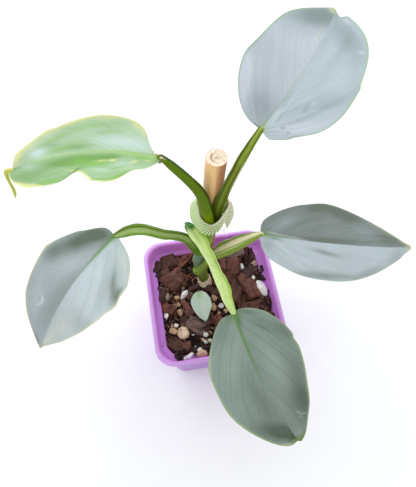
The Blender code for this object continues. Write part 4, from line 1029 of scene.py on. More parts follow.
               (1, 9.8, 4.9, 1.7, 0.62, 27, 0.9), (1, 4.3, 3.2, 1.2, 0.61, 12, 0.9),
               (1, 56.5, 14.7, 16, 0.79, -31, 1.1), (1, 34.8, 11.2, 5.2, 0.6, -20, 0.6),
               (-1, 8.8, 10, 2.3, 0.79, 75, 0.5), (1, 13.8, 15.1, 4.2, 0.57, 31, 0.8)),
        dark=((1, 34.1, 5.5, 6.6, 2.5, -1, 0.7), (1, 26.2, 8, 6.1, 1.7, 9, 1.1),
              (1, 13.4, 13.5, 4.3, 1.2, 45, 1), (1, 20.9, 17.8, 4.9, 0.98, 19, 1),
              (1, 46.3, 16.4, 6.1, 1.2, 6, 0.9), (1, 7.2, 2, 5.7, 1.4, -6, 0.8),
              (1, 38.2, 12.9, 3.5, 0.82, 30, 0.7), (-1, 30.9, 12.5, 8.5, 1.4, -3, 0.5),
              (-1, 43.7, 9.2, 5.1, 1, -15, 0.5), (-1, 44.8, 2.9, 5.5, 1.2, -1, 0.6),
              (-1, 23.8, 9.3, 5.1, 0.92, -3, 0.4), (-1, 38, 5.1, 5.2, 0.98, -9, 0.45),
              (-1, 13, 0, 6.1, 0.61, 0, 0.5), (1, 15.6, 9.3, 4.2, 0.86, 21, 0.6),
              (-1, 51.7, 7.3, 4.4, 0.61, -14, 0.5)),
        bends=((-1, 64.4, 4.9, 4.4, 3.1, -51, 0.9), (1, 20.1, 13.6, 5.2, 3.1, -1, 0.25))),
    "small_leaf": dict(
        heel=(-7.7, 4.0, 71), tip=(-7.5, -15.0, 68.5), arch=1, sweep=-1.3, bank=0, fold=14, cup=10,
        neck=0.8, wave=(0, 0, 0, 0), tip_lift=0.4,
        left=((-0.002, 1.9), (0.087, 4.6), (0.226, 6.2), (0.387, 7.1), (0.539, 7.0), (0.675, 5.9),
              (0.906, 2.8), (0.982, 1.1)),
        right=((0.028, 1.9), (0.111, 3.8), (0.234, 5.2), (0.348, 5.9), (0.461, 5.6), (0.704, 3.8)),
        silver=(0.85, 0.75),
        straw=((1, 1.6, 0.6, 3, 1.4, 10, 0.9), (-1, 1.6, 0.6, 3, 1.4, 10, 0.9))),
}
VEIN_LEAN = 0.55                        # how far a side vein runs forward on its way to the margin
SIDE_VEINS = 6.5                        # side veins to a blade length of midrib
RIM_SHARE = 0.97                        # where the hard margin begins, from midrib to edge


def margin(points, length, rows):
    """One margin from heel to tip, evenly spaced: distance along in lengths, half width in mm."""
    route = smooth_route(np.array(((0, 0), *points, (1, 0))) * (length, 1), rows)
    return route[:, 0] / length, route[:, 1]


def midrib(blade, along):
    """Midrib points, and the blade's forward, left and upward directions, at shares of its length."""
    heel, tip = np.array(blade["heel"]), np.array(blade["tip"])
    chord = unit(tip - heel)
    lift = unit(np.array((0, 0, 1)) - chord * chord[2])
    bend = (heel + tip) / 2 + 2 * blade["arch"] * lift + 2 * blade["sweep"] * np.cross(lift, chord)
    t = np.maximum(along, 0)[:, None]
    point = (1 - t) ** 2 * heel + 2 * t * (1 - t) * bend + t ** 2 * tip
    point = point + np.minimum(along, 0)[:, None] * 2 * (bend - heel)
    forward = (1 - t) * (bend - heel) + t * (tip - bend)
    forward /= np.linalg.norm(forward, axis=1)[:, None]
    upward = np.array((0, 0, 1)) - forward * forward[:, 2:]
    upward /= np.linalg.norm(upward, axis=1)[:, None]
    left = np.cross(upward, forward)
    bank = math.radians(blade["bank"])
    return (point, forward, left * math.cos(bank) + upward * math.sin(bank),
            upward * math.cos(bank) - left * math.sin(bank))


def sheet_faces(rows, columns):
    """Faces of a thin sheet: those of its upper points, those of its lower points, and the rim between."""
    count = rows * columns
    grid = grid_faces(rows, columns)
    border = [k * columns for k in range(rows)] + [(rows - 1) * columns + i for i in range(1, columns)]
    border += [k * columns + columns - 1 for k in range(rows - 2, -1, -1)]
    border += list(range(columns - 2, 0, -1))
    rim = [(a, b, b + count, a + count) for a, b in zip(border, border[1:] + border[:1])]
    return grid.tolist() + (grid[:, ::-1] + count).tolist() + rim


def blade_mesh(blade, rows=170, columns=91, thick=0.42, rib=1.1, quilt=0.05):
    """Points, faces and kept numbers of a blade: the upper face, the lower face and the rim between."""
    length = np.linalg.norm(np.array(blade["tip"]) - np.array(blade["heel"]))
    row = np.linspace(0, 1, rows)[:, None] * np.ones((1, columns))
    spread = np.linspace(-1, 1, columns)
    across = np.sign(spread) * np.abs(spread) ** 1.4 * np.ones((rows, 1))
    share, side = np.abs(across), np.where(across > 0, 1, -1)
    left, right = margin(blade["left"], length, rows), margin(blade["right"], length, rows)
    edge_along = np.where(side > 0, left[0][:, None], right[0][:, None])
    edge_out = np.where(side > 0, left[1][:, None], right[1][:, None])
    edge_out = np.maximum(edge_out, np.maximum(blade["neck"] * (1 - row) ** 4, 0.25))
    base = row * (0.25 + 0.75 * row)
    along = (base + (edge_along - base) * share ** 1.5).ravel()
    point, _, leftward, upward = midrib(blade, along)
    row, share, side = row.ravel(), share.ravel(), side.ravel()

    out = share * edge_out.ravel()

    def marked(key):
        """All marks of one sort added up, each a soft oval on one half of the blade."""
        total = np.zeros(len(along))
        for half, far, off, long, wide, turn, change in blade.get(key, ()):
            ahead, aside = along * length - far, out - off
            c, s = math.cos(math.radians(turn)), math.sin(math.radians(turn))
            oval = bump(ahead * c + aside * s, 0, long) * bump(aside * c - ahead * s, 0, wide)
            total += np.where(side == half, change * oval, 0)
        return total

    slope = np.radians(blade["fold"] + blade["cup"] * out / 60)
    rounded = (np.sqrt(out ** 2 + 1.0) - 1.0) / np.maximum(out, 1e-6)
    outward = side[:, None] * leftward * np.cos(slope)[:, None] + upward * (rounded * np.sin(slope))[:, None]
    normal = upward * np.cos(slope)[:, None] - side[:, None] * leftward * np.sin(slope)[:, None]
    left_wave, right_wave, turns, phase = blade["wave"]
    inside = np.clip(along, 0, 1)
    ripple = np.where(side > 0, left_wave, right_wave) * share ** 2 * np.sin(math.pi * inside)
    ripple *= np.sin(2 * math.pi * turns * inside + phase + np.where(side > 0, 0, 1.3))
    curl = blade["tip_lift"] * np.maximum(0, (along - 0.8) / 0.2) ** 2
    vein = along - VEIN_LEAN * share ** 1.15
    puff = quilt * np.cos(2 * math.pi * SIDE_VEINS * vein) * np.sin(math.pi * np.clip(share * 1.05, 0, 1))
    middle = point + out[:, None] * outward + normal * (ripple + curl - puff + marked("bends"))[:, None]
    half = 0.5 * thick * (1 - 0.55 * share ** 3)
    groove = 0.35 * (1 - row) ** 1.5 * bump(out, 0, 0.7)
    ridge = rib * (1 - 0.85 * row) * np.exp(-(out / (0.5 + 0.6 * (1 - row))) ** 2)
    upper = middle + normal * (half - groove)[:, None]
    lower = middle - normal * (half + ridge)[:, None]
    # Painted sheen and shade: how silvery each half and each patch is painted, as the light falls on it.
    silver = np.where(side > 0, *blade["silver"]) + marked("patches")
    marks = np.column_stack([marked(key) for key in ("pale", "straw", "dark")])
    lie = np.column_stack((vein * length, share * side, along * length))
    kept = {"lie": np.vstack((lie, lie)), "marks": np.vstack((marks, marks * 0)), "out": np.tile(out, 2),
            "silver": np.tile(silver, 2), "under": np.repeat((0.0, 1.0), rows * columns)}
    return np.vstack((upper, lower)) * MM, sheet_faces(rows, columns), kept, length


def leaf_finish(name, length, dark, silver, rib, rim, tip, back, marks, shine=0.22, vein_show=0.12,
                streak=0.20, cloud=0.35, rib_reach=0.6, rib_width=1.0, rib_show=0.8, heel=0.10,
                rim_show=0.7):
    """A blade's finish, from its colours: dull and silvery places, partly painted shade and sheen, midrib,
    margin, tip and underside.
    """
    leaf = Finish(name, Metallic=shine, Specular_IOR_Level=0.5)
    vein, across, along = leaf.parts(leaf.read("lie").out(1))
    pale, straw, dusk = leaf.parts(leaf.read("marks").out(1))
    out = leaf.read("out")
    under = leaf.read("under")
    spot = leaf.place()
    share = abs(across)
    row = along / length
    drift = leaf.noise(spot, 60.0, 2.0)
    gap = abs(leaf.maths("FRACT", vein * (SIDE_VEINS / length) + drift * 0.3) - 0.5) * (length / SIDE_VEINS)
    major = leaf.step(gap, 0.55, 0.12) * leaf.step(share, 0.02, 0.10) * leaf.step(share, 1.0, 0.8)
    fine = leaf.noise(leaf.join(vein, across * 9.0, under * 7.0), 1.9, 3.0, 0.6)
    streaks = leaf.noise(leaf.join(vein, across * 2.5, 3.0), 0.42, 4.0, 0.65)
    grain = leaf.noise(spot, 1900.0, 2.0, 0.6)
    clouds = leaf.noise(spot, 45.0, 3.0)
    # Painted sheen and shade: the blade goes from its dull colour to its silver one wherever each half's
    # painted silver amount says.
    light = leaf.read("silver") + (streaks - 0.5) * streak * 2 + (clouds - 0.5) * cloud
    face = leaf.mix(leaf.maths("MAXIMUM", light, 0.0), dark, silver)
    broken = 0.35 + streaks * 0.9
    for amount, colour in zip((pale, straw, dusk), marks):
        face = leaf.mix(leaf.maths("MINIMUM", amount * broken, 0.95), face, colour)
    face = leaf.mix(1.0, face, 0.80 + grain * 0.24 + fine * 0.16, "MULTIPLY")
    face = leaf.mix(major * vein_show, face, leaf.mix(0.35, dark, rib))
    stripe = leaf.step(out, rib_width * 1.4, rib_width * 0.3) * leaf.step(row, rib_reach, rib_reach * 0.3)
    face = leaf.mix(stripe * rib_show, face, rib)
    face = leaf.mix(leaf.step(row + share * 0.10 + fine * 0.04, heel, heel * 0.3) * 0.8, face, rib)
    face = leaf.mix(leaf.step(row + (streaks - 0.5) * 0.05, 0.955, 0.995) * 0.8, face, tip)
    face = leaf.mix(leaf.step(share, RIM_SHARE - 0.02, RIM_SHARE + 0.01) * rim_show, face, rim)
    belly = leaf.mix(fine, back, leaf.mix(0.3, back, rib))
    belly = leaf.mix(leaf.step(out, 1.4, 0.6), belly, leaf.mix(0.35, rib, tint(220, 230, 190)))
    belly = leaf.mix(major * 0.5, belly, leaf.mix(0.5, back, tint(220, 230, 200)))
    leaf.paint(leaf.mix(under, face, belly), 0.40 + fine * 0.12 + under * 0.2)
    leaf.relief(fine * 0.5 + grain * 0.3 - major * (0.6 - under * 1.5), 0.07 * MM)
    return leaf


PALE, STRAW, DARK_GREEN = tint(214, 222, 222), tint(212, 208, 150), tint(92, 112, 90)
# Each silver colour is the leaf's own silver with painted sheen on it; dark is its dull green, shown where
# painted shade falls.
LEAF_LOOKS = {
    "leaf_upper_right": dict(
        dark=tint(116, 132, 134), silver=tint(183, 189, 197), rib=tint(138, 162, 120),
        rim=tint(134, 164, 124), tip=tint(168, 178, 140), back=tint(150, 172, 140),
        marks=(PALE, STRAW, DARK_GREEN),
        rib_reach=0.8, rib_width=0.6, rib_show=0.35, streak=0.12),
    "leaf_right": dict(
        dark=tint(104, 114, 104), silver=tint(176, 186, 194), rib=tint(112, 144, 92), rim=tint(140, 158, 126),
        tip=tint(180, 174, 118), back=tint(140, 164, 130), marks=(PALE, STRAW, DARK_GREEN),
        rib_reach=0.25, rib_width=1.2, rib_show=0.6, rim_show=0.3),
    "leaf_front": dict(
        dark=tint(78, 94, 80), silver=tint(148, 164, 156), rib=tint(84, 124, 52), rim=tint(146, 170, 108),
        tip=tint(110, 126, 60), back=tint(132, 156, 116),
        marks=(tint(190, 204, 196), STRAW, tint(56, 80, 36)),
        shine=0.12, vein_show=0.5, rib_reach=0.62, rib_width=1.1, streak=0.14, heel=0.12),
    "leaf_left": dict(
        dark=tint(100, 112, 100), silver=tint(184, 194, 200), rib=tint(112, 150, 90), rim=tint(190, 194, 150),
        tip=tint(176, 182, 130), back=tint(142, 164, 126), marks=(PALE, tint(216, 214, 190), DARK_GREEN),
        rib_reach=0.4, rib_width=1.2, streak=0.14),
    "leaf_upper_left": dict(
        dark=tint(96, 142, 62), silver=tint(184, 208, 176), rib=tint(150, 184, 84), rim=tint(218, 222, 148),
        tip=tint(190, 196, 90), back=tint(150, 186, 104),
        marks=(tint(200, 216, 220), tint(220, 212, 140), tint(112, 168, 40)),
        shine=0.0, rib_reach=1.0, rib_width=0.8, rib_show=0.5, streak=0.22, cloud=0.5, rim_show=0.9),
}
for name, look in LEAF_LOOKS.items():
    points, faces, kept, length = blade_mesh(BLADES[name])
    leaf = build(name + "_blade", points, faces, leaf_finish(name, length, **look), sharp=55, **kept)
    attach(leaf, "root")
    "leaf_young" if name == "leaf_upper_left" else "leaf_silver"
    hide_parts(name)

# Drip tip
# The youngest leaf's point is still rolled up, and hangs from it as a thin yellow-green hook.
DRIP_ROUTE = np.array((
    (-87.1, 39.9, 171.6), (-89.1, 40.3, 171.3), (-90.7, 40.5, 170.8), (-91.1, 39.8, 169.8),
    (-90.9, 38.1, 168.2), (-90.3, 36.2, 166.4), (-89.6, 34.4, 164.8), (-89.5, 32.8, 163.4),
    (-89.6, 31.4, 162.2),
)) * MM
DRIP_STEPS = 60
rolled = Finish("rolled_tip", Roughness=0.45, Subsurface_Weight=0.15, Subsurface_Scale=0.001)
rolled.paint(rolled.mix(rolled.noise(rolled.place(), 500.0), tint(168, 176, 52), tint(220, 220, 116)))
route = smooth_route(DRIP_ROUTE, DRIP_STEPS)
share = np.linspace(0, 1, DRIP_STEPS)
radii = 1.0 * MM * (1.1 - 0.5 * share + 0.12 * np.sin(9 * share)) * np.clip((1.02 - share) * 9, 0.25, 1)
drip = build("drip_tip", *loft(tube(route, radii, 14)), rolled)
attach(drip, "root")

# Small leaf
# The first tiny leaf, pale mint, on a thin stalk of its own in front of the stem's foot.
SMALL_STALK_ROUTE = np.array((
    (-7.8, 0.5, 70.2), (-7.8, 3.4, 69.6), (-7.6, 5.2, 67), (-7.2, 6.0, 62), (-6.6, 6.4, 56))) * MM
SMALL_STALK_STEPS = 30
points, faces, kept, length = blade_mesh(BLADES["small_leaf"], rows=60, columns=41, thick=0.4, rib=0.5,
                                         quilt=0.02)
mint = leaf_finish("small_leaf", length, dark=tint(146, 172, 146), silver=tint(204, 216, 206),
                   rib=tint(146, 178, 132), rim=tint(206, 220, 190), tip=tint(150, 176, 130),
                   back=tint(160, 186, 150), marks=(PALE, tint(150, 178, 110), DARK_GREEN), shine=0.1,
                   vein_show=0.0, rib_reach=0.9, rib_width=0.25, rib_show=0.3, heel=0.05)
small = build("small_leaf_blade", points, faces, mint, sharp=55, **kept)
thread = Finish("small_stalk", Roughness=0.45)
thread.paint(thread.mix(thread.noise(thread.place(), 400.0), tint(110, 140, 72), tint(156, 178, 110)))
route = smooth_route(SMALL_STALK_ROUTE, SMALL_STALK_STEPS)
small_stalk = build("small_leaf_stalk", *loft(tube(route, [0.7 * MM] * SMALL_STALK_STEPS, 16)), thread)
for piece in (small, small_stalk):
    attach(piece, "root")
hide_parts("small_leaf")

# Leaf stalks
# Firm, juicy stalks, round below and grooved above, between two thin wings with a pale, wavy edge.
# Each clasps the stem at its foot and runs into its blade's midrib. The youngest leaf's is plain.
#
# Facing is the way that the groove looks. Right and left are the sides as seen from foot to blade.
# Flutter is how much the right wing waves in size, and the left; a minus sets it against the other.
# Foot reach is where the foot's green has faded out and where it is still full, as shares of length.
# Widths are half widths in mm, evenly spaced from foot to blade.
# The groove, right and left greens are partly painted light and shade: the lit side paler, the shaded side
# darker.
STALKS = {
    "stalk_upper_left": dict(
        blade="leaf_upper_left", facing=(0.6, 0.1, 1), wing=0.0, flutter=(0, 0), foot_reach=(0.30, 0.08),
        route=((-2.0, 15.4, 133), (-1.5, 16.7, 138.6), (-2.6, 18.9, 147.1), (-3.8, 20.9, 155.1),
               (-6.6, 22.4, 162.6), (-10.3, 23.1, 169.7), (-14, 23.3, 176.6)),
        widths=(3.2, 3.4, 3.6, 3.4, 3.1, 2.7, 2.5, 2.2, 1.3),
        foot=tint(150, 176, 4), groove=tint(54, 78, 0), right=tint(52, 74, 0),
        left=tint(94, 122, 4), edge=tint(106, 128, 26)),
    "stalk_upper_right": dict(
        blade="leaf_upper_right", facing=(-0.3, -0.4, 1), wing=1.0, flutter=(0.3, -0.05),
        foot_reach=(0.22, 0.10),
        route=((1.2, 18.4, 129), (3.3, 19.9, 137.4), (5.2, 21.1, 148.7), (7.6, 22.8, 157.6),
               (10.3, 24.1, 165.7), (12.9, 25.2, 173.3), (15.5, 26.1, 180.8), (18.3, 27.6, 186.7)),
        widths=(2.0, 2.3, 2.5, 2.3, 2.0, 1.9, 1.9, 1.9, 1.7, 1.4),
        foot=tint(92, 108, 18), groove=tint(146, 162, 64), right=tint(104, 126, 20),
        left=tint(84, 104, 6), edge=tint(238, 240, 200)),
    "stalk_right": dict(
        blade="leaf_right", facing=(0, 0.25, 1), wing=0.34, flutter=(0.25, -0.25), foot_reach=(0.42, 0.20),
        route=((-6.2, 15.4, 81), (-7.4, 12.8, 84.6), (-4, 14.1, 91.3), (0.2, 14.6, 97.5), (4.9, 14.8, 102.4),
               (9.7, 15.1, 105.9), (14.6, 15.5, 108.4), (19.5, 16.3, 110.3), (24.5, 17.1, 111.8)),
        widths=(2.8, 3.3, 3.4, 3.1, 3.5, 4.2, 4.2, 3.6, 2.8, 1.2),
        foot=tint(122, 146, 56), groove=tint(220, 214, 176), right=tint(136, 158, 66),
        left=tint(112, 134, 44), edge=tint(222, 228, 178)),
    "stalk_left": dict(
        blade="leaf_left", facing=(0, -0.75, 1), wing=0.34, flutter=(0.2, -0.2), foot_reach=(0.32, 0.14),
        route=((-3.8, 17.4, 102), (-6.9, 15.6, 106.6), (-9.8, 17.3, 111.6), (-13.4, 20, 117.2),
               (-19.1, 20.6, 121.4), (-25, 20.7, 124.6), (-30.4, 21.9, 127.1), (-35.9, 23.8, 127.8),
               (-41.9, 25.2, 126.1)),
        widths=(2.0, 2.6, 2.7, 2.6, 2.6, 2.7, 2.9, 3.2, 2.8, 1.5),
        foot=tint(90, 124, 16), groove=tint(166, 190, 116), right=tint(88, 118, 14),
        left=tint(116, 150, 50), edge=tint(164, 190, 98)),
    "stalk_front": dict(
        blade="leaf_front", facing=(0.1, 0.2, 1), wing=0.42, flutter=(0.3, -0.3), foot_reach=(0.34, 0.26),
        route=((-4, 18.6, 112), (-7.6, 21.6, 118), (-10.3, 22.8, 123.6), (-10.4, 20.6, 127.9),
               (-8.6, 14.9, 129.7), (-6.2, 10, 130.0), (-4.7, 4.6, 129.5), (-2.9, -0.3, 128),
               (-1.3, -5.1, 125.4), (0.3, -9.7, 122.3), (2.0, -14.3, 119.1), (3.0, -19, 115.8)),
        widths=(2.4, 2.5, 2.7, 3.0, 3.2, 3.2, 2.6, 2.3, 2.65, 3.0, 3.0, 2.35, 1.35),
        foot=tint(50, 122, 6), groove=tint(208, 230, 146), right=tint(212, 232, 158),
        left=tint(164, 200, 88), edge=tint(232, 240, 186)),
}
STALK_ROWS = 130
STALK_SIDES = 72
# Where each dry bit lies, its width, and its tone from pink to olive
DRY_BITS = ((-21.5, 24.6, 188, 1.9, 0.05), (-22.7, 26.1, 188.5, 1.5, 0.2), (-22.4, 24.2, 185.5, 1.8, 0.9),
            (-24.4, 27.5, 189, 1.2, 0.3), (-20.5, 24.3, 187, 1.2, 0.6))
SCALE_ROUTE = ((-5.3, 29.0, 140.5), (-5.2, 26.5, 140.0), (-5.2, 24.2, 139.5), (-5.1, 21.7, 139.0),
               (-4.6, 19.3, 138.5), (-3.5, 17.2, 138.0))
SCALE_STEPS = 24


def stalk_mesh(stalk):
    """Points, faces and kept numbers of a grooved, winged stalk."""
    heel, forward, _, _ = midrib(BLADES[stalk["blade"]], np.zeros(1))
    heel, forward = heel[0], forward[0]
    arrival = [heel - forward * 0.8 - (0, 0, 0.2), heel + forward * 0.5 - (0, 0, 0.7)]
    route = smooth_route(np.vstack((stalk["route"], arrival)) * MM, STALK_ROWS)
    along = np.gradient(route, axis=0)
    places = np.linspace(0, 1, len(stalk["widths"]))
    turns = np.linspace(-180, 180, STALK_SIDES, endpoint=False)
    s, c = np.sin(np.radians(turns)), np.cos(np.radians(turns))
    lip = bump(np.abs(turns), 48, 9)
    points, edge, run = [], [], []
    for share, point, forward in zip(np.linspace(0, 1, STALK_ROWS), route, along):
        forward = unit(forward)
        facing = np.array(stalk["facing"])
        facing = unit(facing - forward * facing.dot(forward))
        side = np.cross(forward, facing)
        half = float(np.interp(share, places, stalk["widths"])) * MM
        fade = max(0.0, math.sin(math.pi * min(1.0, 0.08 + share * 0.95))) ** 0.6
        wave = math.sin(31 * share) + 0.5 * math.sin(67 * share + 1)
        wing = stalk["wing"] * fade * (1 + wave * np.where(turns > 0, *stalk["flutter"]))
        hollow = min(0.6, 0.8 * stalk["wing"] ** 0.5) * fade * bump(turns, 0, 34)
        out = half * s * (1 + 0.6 * wing * lip)
        rise = 0.84 * half * (c * (1 - hollow) + 0.8 * wing * lip)
        points.append(point + np.outer(out, side) + np.outer(rise, facing))
        edge.append(lip * fade * (1 if stalk["wing"] else 0.3))
        run.append(np.full(STALK_SIDES, share))
    points, faces = loft(points)
    return points, faces, {"turn": np.tile(turns / 90, STALK_ROWS), "edge": np.concatenate(edge),
                           "run": np.concatenate(run)}


def stalk_finish(name, foot, foot_reach, groove, right, left, edge):
    """Green skin with fine lengthwise lines, side greens partly painted light and shade, palest at wing
    edges.
    """
    skin = Finish(name, Specular_IOR_Level=0.14, Subsurface_Weight=0.15, Subsurface_Scale=0.002,
                  Subsurface_Radius=(0.5, 0.9, 0.2))
    run = skin.read("run")
    turn = skin.read("turn")
    lines = skin.noise(skin.join(run * 2.5, turn * 5.0, 0.0), 3.0, 4.0, 0.6)
    mottle = skin.noise(skin.place(), 260.0, 3.0, 0.5)
    drift = turn + (lines - 0.5) * 0.5
    # Painted light and shade: the groove and each side get their own green, paler where light falls, darker
    # in shade.
    face = skin.mix(skin.step(drift, 0.12, 0.45), groove, right)
    face = skin.mix(skin.step(drift, -0.12, -0.45), face, left)
    at_foot = skin.step(run + (mottle - 0.5) * 0.1, *foot_reach)
    face = skin.mix(at_foot, face, foot)
    face = skin.mix(skin.step(skin.read("edge"), 0.45, 0.9) * skin.step(run, 0.35, 0.7) * 0.8, face, edge)
    face = skin.mix(1.0, face, 0.56 + lines * 0.5 + mottle * 0.3, "MULTIPLY")
    skin.paint(face, 0.44 + mottle * 0.2)
    skin.relief(lines + mottle * 0.4, 0.10 * MM)
    return skin


for name, stalk in STALKS.items():
    points, faces, kept = stalk_mesh(stalk)
    colours = {key: stalk[key] for key in ("foot", "foot_reach", "groove", "right", "left", "edge")}
    piece = build(name + "_skin", points, faces, stalk_finish(name, **colours), sharp=75, **kept)
    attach(piece, "root")
    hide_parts(name)

# Dry bits of torn skin lie where the youngest blade joins its stalk, and a dry scale inside the tie
bits = Heap()
draw = random.Random(8)
for x, y, z, span, shade in DRY_BITS:
    unit_points, faces = BALLS[2]
    points = unit_points * (1 + rough(unit_points, 2.5, 0.6, draw.uniform(0, 50)))[:, None]
    points = points * (0.8, 0.6, 0.5) * span * MM
    bits.add(points + np.array((x, y, z)) * MM, faces, shade)
route = smooth_route(np.array(SCALE_ROUTE) * MM, SCALE_STEPS)
bits.add(*loft(tube(route, 1.5 * MM * np.sin(np.linspace(0.3, 2.8, SCALE_STEPS)), 14)), 0.12)
dried = Finish("dried_skin", Roughness=0.75)
dried.paint(dried.mix(dried.read("shade"), tint(220, 198, 164), tint(140, 134, 40)))
dry_bits = bits.make("dry_bits", dried)
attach(dry_bits, "root")

# Tie tape
# Soft green tape, ribbed across its width, looped once round the two top stalks and the stake. Its
# free end hangs on the right, cut to a point, with a few threads pulled out of it.
TIE_LEVELS = (135.0, 145.5)             # heights of the loop's lower and upper edge, in mm
# Corners of the loop's lower and upper edge, seen from above
TIE_LOW = ((-7.4, 32.3), (-8.9, 29.1), (-9.8, 25.0), (-9.4, 20.5), (-7.9, 17.0), (-5.8, 14.0), (-3.3, 11.8),
           (2.3, 12.6), (6.1, 17.1), (9.1, 21.9), (8.5, 28), (4, 33.2), (-1.6, 33.8))
TIE_HIGH = ((-6.4, 26.8), (-5.9, 23.8), (-6.2, 19.8), (-5.9, 16.0), (-4.4, 13.8), (-2.5, 12.1), (-0.6, 11.7),
            (2.8, 13.7), (5.6, 16.7), (7.9, 19.9), (9.8, 22.4), (8.5, 29), (4, 33.2), (-1, 32), (-4.6, 29))
RIBS = 38
RIB_STEPS = 9
TIE_STEPS = RIBS * RIB_STEPS
TIE_ROWS = 15
EVEN_STEPS = 300
ROUND_WAVES = 8                         # the fewer, the softer the loop's corners


def closed_line(corners):
    """A soft closed line through its corners, and the way out of it, in mm."""
    corners = np.array(corners + corners[:1])
    run = np.concatenate(([0], np.cumsum(np.linalg.norm(np.diff(corners, axis=0), axis=1))))
    wanted = np.linspace(0, run[-1], EVEN_STEPS, endpoint=False)
    even = np.column_stack([np.interp(wanted, run, column) for column in corners.T])
    waves = np.fft.rfft(even, axis=0)
    waves[ROUND_WAVES:] = 0
    line = np.fft.irfft(waves, EVEN_STEPS, axis=0)
    places = np.arange(TIE_STEPS) * EVEN_STEPS / TIE_STEPS
    line = np.column_stack([np.interp(places, np.arange(EVEN_STEPS + 1), np.append(c, c[0])) for c in line.T])
    ahead = np.roll(line, -1, axis=0) - np.roll(line, 1, axis=0)
    ahead /= np.linalg.norm(ahead, axis=1)[:, None]
    return line, np.column_stack((ahead[:, 1], -ahead[:, 0]))


low_line, low_out = closed_line(TIE_LOW)
high_line, high_out = closed_line(TIE_HIGH)
rib = 0.5 + 0.5 * np.cos(np.arange(TIE_STEPS) * 2 * math.pi / RIB_STEPS)
crisp = 0.3 + 0.7 * np.clip((high_line[:, 0] + 6) / 5, 0, 1)       # the ribs are pulled flat on the left


def tape_line(share, out, lift):
    """One line round the loop, moved out of it and up in mm."""
    flat = low_line + (high_line - low_line) * share + (low_out + (high_out - low_out) * share) * out[:, None]
    height = TIE_LEVELS[0] + (TIE_LEVELS[1] - TIE_LEVELS[0]) * share
    return np.column_stack((flat, height + lift)) * MM


lines = []
for share in np.linspace(0, 1, TIE_ROWS):
    teeth = crisp * (0.45 * rib - 0.45) if share == 1 else rib * 0
    lines.append(tape_line(share, 0.26 + 0.46 * rib * crisp + 0.12 * abs(2 * share - 1) ** 6, teeth))
for share in np.linspace(1, 0, TIE_ROWS):
    teeth = crisp * (0.45 * rib - 0.50) if share == 1 else rib * 0
    lines.append(tape_line(share, -0.10 + 0.12 * rib * crisp, teeth))
loop_points = np.concatenate(lines)
loop_faces = grid_faces(len(lines) + 1, TIE_STEPS, closed=True) % (len(lines) * TIE_STEPS)
inner = np.repeat(np.arange(len(lines)) >= TIE_ROWS, TIE_STEPS)

tape = Finish("tie_tape", Roughness=0.7, Specular_IOR_Level=0.35, Sheen_Weight=0.15, Subsurface_Weight=0.2,
              Subsurface_Scale=0.001)
spot = tape.place()
ridge = tape.read("rib")
weave = tape.noise(spot, 1700.0, 3.0, 0.6)
x, _, z = tape.parts(spot)
# Painted shade and painted light on the ribs: dark green in the hollows between them, pale on their crests.
cloth = tape.mix(ridge, tint(104, 132, 64), tint(224, 235, 188))
# Painted light: the loop's left side is painted paler, where the light falls on it.
cloth = tape.mix(tape.step(x, -2 * MM, -7 * MM) * 0.8, cloth, tint(195, 216, 153))
# Painted highlight: near white on the rib crests along the loop's upper edge, on its right.
painted_rib_highlight = ridge * tape.step(z, 143.8 * MM, 144.8 * MM) * tape.step(x, -3 * MM, 0.0)
cloth = tape.mix(painted_rib_highlight, cloth, tint(250, 250, 240))
cloth = tape.mix(tape.read("inner"), cloth, tint(222, 212, 188))
tape.paint(tape.mix(tape.step(weave, 0.5, 0.8) * 0.25, cloth, tint(140, 162, 116)))
tape.relief(weave, 0.15 * MM)
loop = build("tie_loop", loop_points, loop_faces, tape, sharp=60, rib=np.tile(rib * crisp, len(lines)),
             inner=inner)

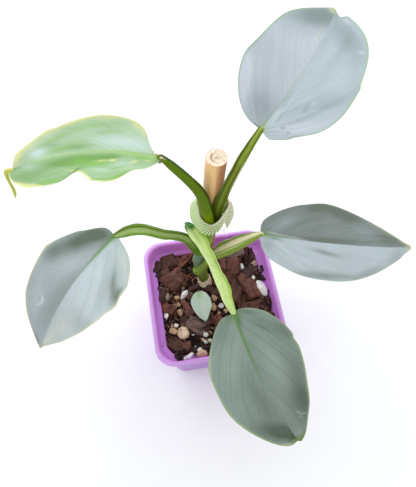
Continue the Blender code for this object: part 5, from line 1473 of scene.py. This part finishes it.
# The free end's two long edges, from the loop down to the point
TAIL_LEFT = ((7.6, 24.0, 144.6), (6.8, 20.6, 139), (7.2, 18.6, 134.5), (8.8, 17.4, 127.5))
TAIL_RIGHT = ((9.0, 25.4, 143.8), (11.6, 24.6, 141.5), (12.2, 20.6, 135.5), (8.8, 17.4, 127.5))
rows, columns = 40, 26
over = np.linspace(0, 1, columns)[None, :, None]
left_line = smooth_route(np.array(TAIL_LEFT) * MM, rows)
right_line = smooth_route(np.array(TAIL_RIGHT) * MM, rows)
flap = left_line[:, None, :] * (1 - over) + right_line[:, None, :] * over
sheet = unit(np.cross(right_line[0] - left_line[-1], left_line[0] - left_line[-1]))
down = np.linspace(0, 1, rows)
ribbing = np.cos(down * 56)
ripple = 0.6 * np.sin(down * 3.0)[:, None] * np.sin(over[0, :, 0] * math.pi)[None, :]
ripple = ripple + 0.08 * ribbing[:, None]
flap = flap + sheet * ripple[:, :, None] * MM
front, back = flap + sheet * 0.2 * MM, flap - sheet * 0.2 * MM
points = np.vstack((front.reshape(-1, 3), back.reshape(-1, 3)))
# The free end gets the same painted rib shade and light.
tail_rib = np.tile(np.repeat(0.55 + 0.25 * ribbing, columns), 2)
tail = build("tie_tail", points, sheet_faces(rows, columns), tape, sharp=60, rib=tail_rib,
             inner=np.full(len(points), 0.5))

THREADS = 8
THREAD_STEPS = 14
frayed = Heap()
draw = random.Random(23)
for _ in range(THREADS):
    shift = np.array((draw.uniform(-2.5, 0.5), draw.uniform(-0.5, 0.8), draw.uniform(-1, 2)))
    place, route = left_line[-1] + shift * MM, []
    heading = draw.uniform(2.6, 4.4)
    for _ in range(THREAD_STEPS):
        route.append(place.copy())
        heading += draw.uniform(-0.9, 0.9)
        place = place + 0.6 * MM * np.array((math.cos(heading) * 0.9, math.sin(heading) * 0.5, -0.55))
    frayed.add(*loft(tube(route, [0.06 * MM] * THREAD_STEPS, 5)), 0.5)
threads = Finish("tape_threads", Roughness=0.6)
threads.paint(threads.mix(threads.noise(threads.place(), 600.0), tint(226, 228, 214), tint(246, 246, 240)))
fringe = frayed.make("tie_threads", threads)
for piece in (loop, tail, fringe):
    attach(piece, "root")
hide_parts("tie_tape")
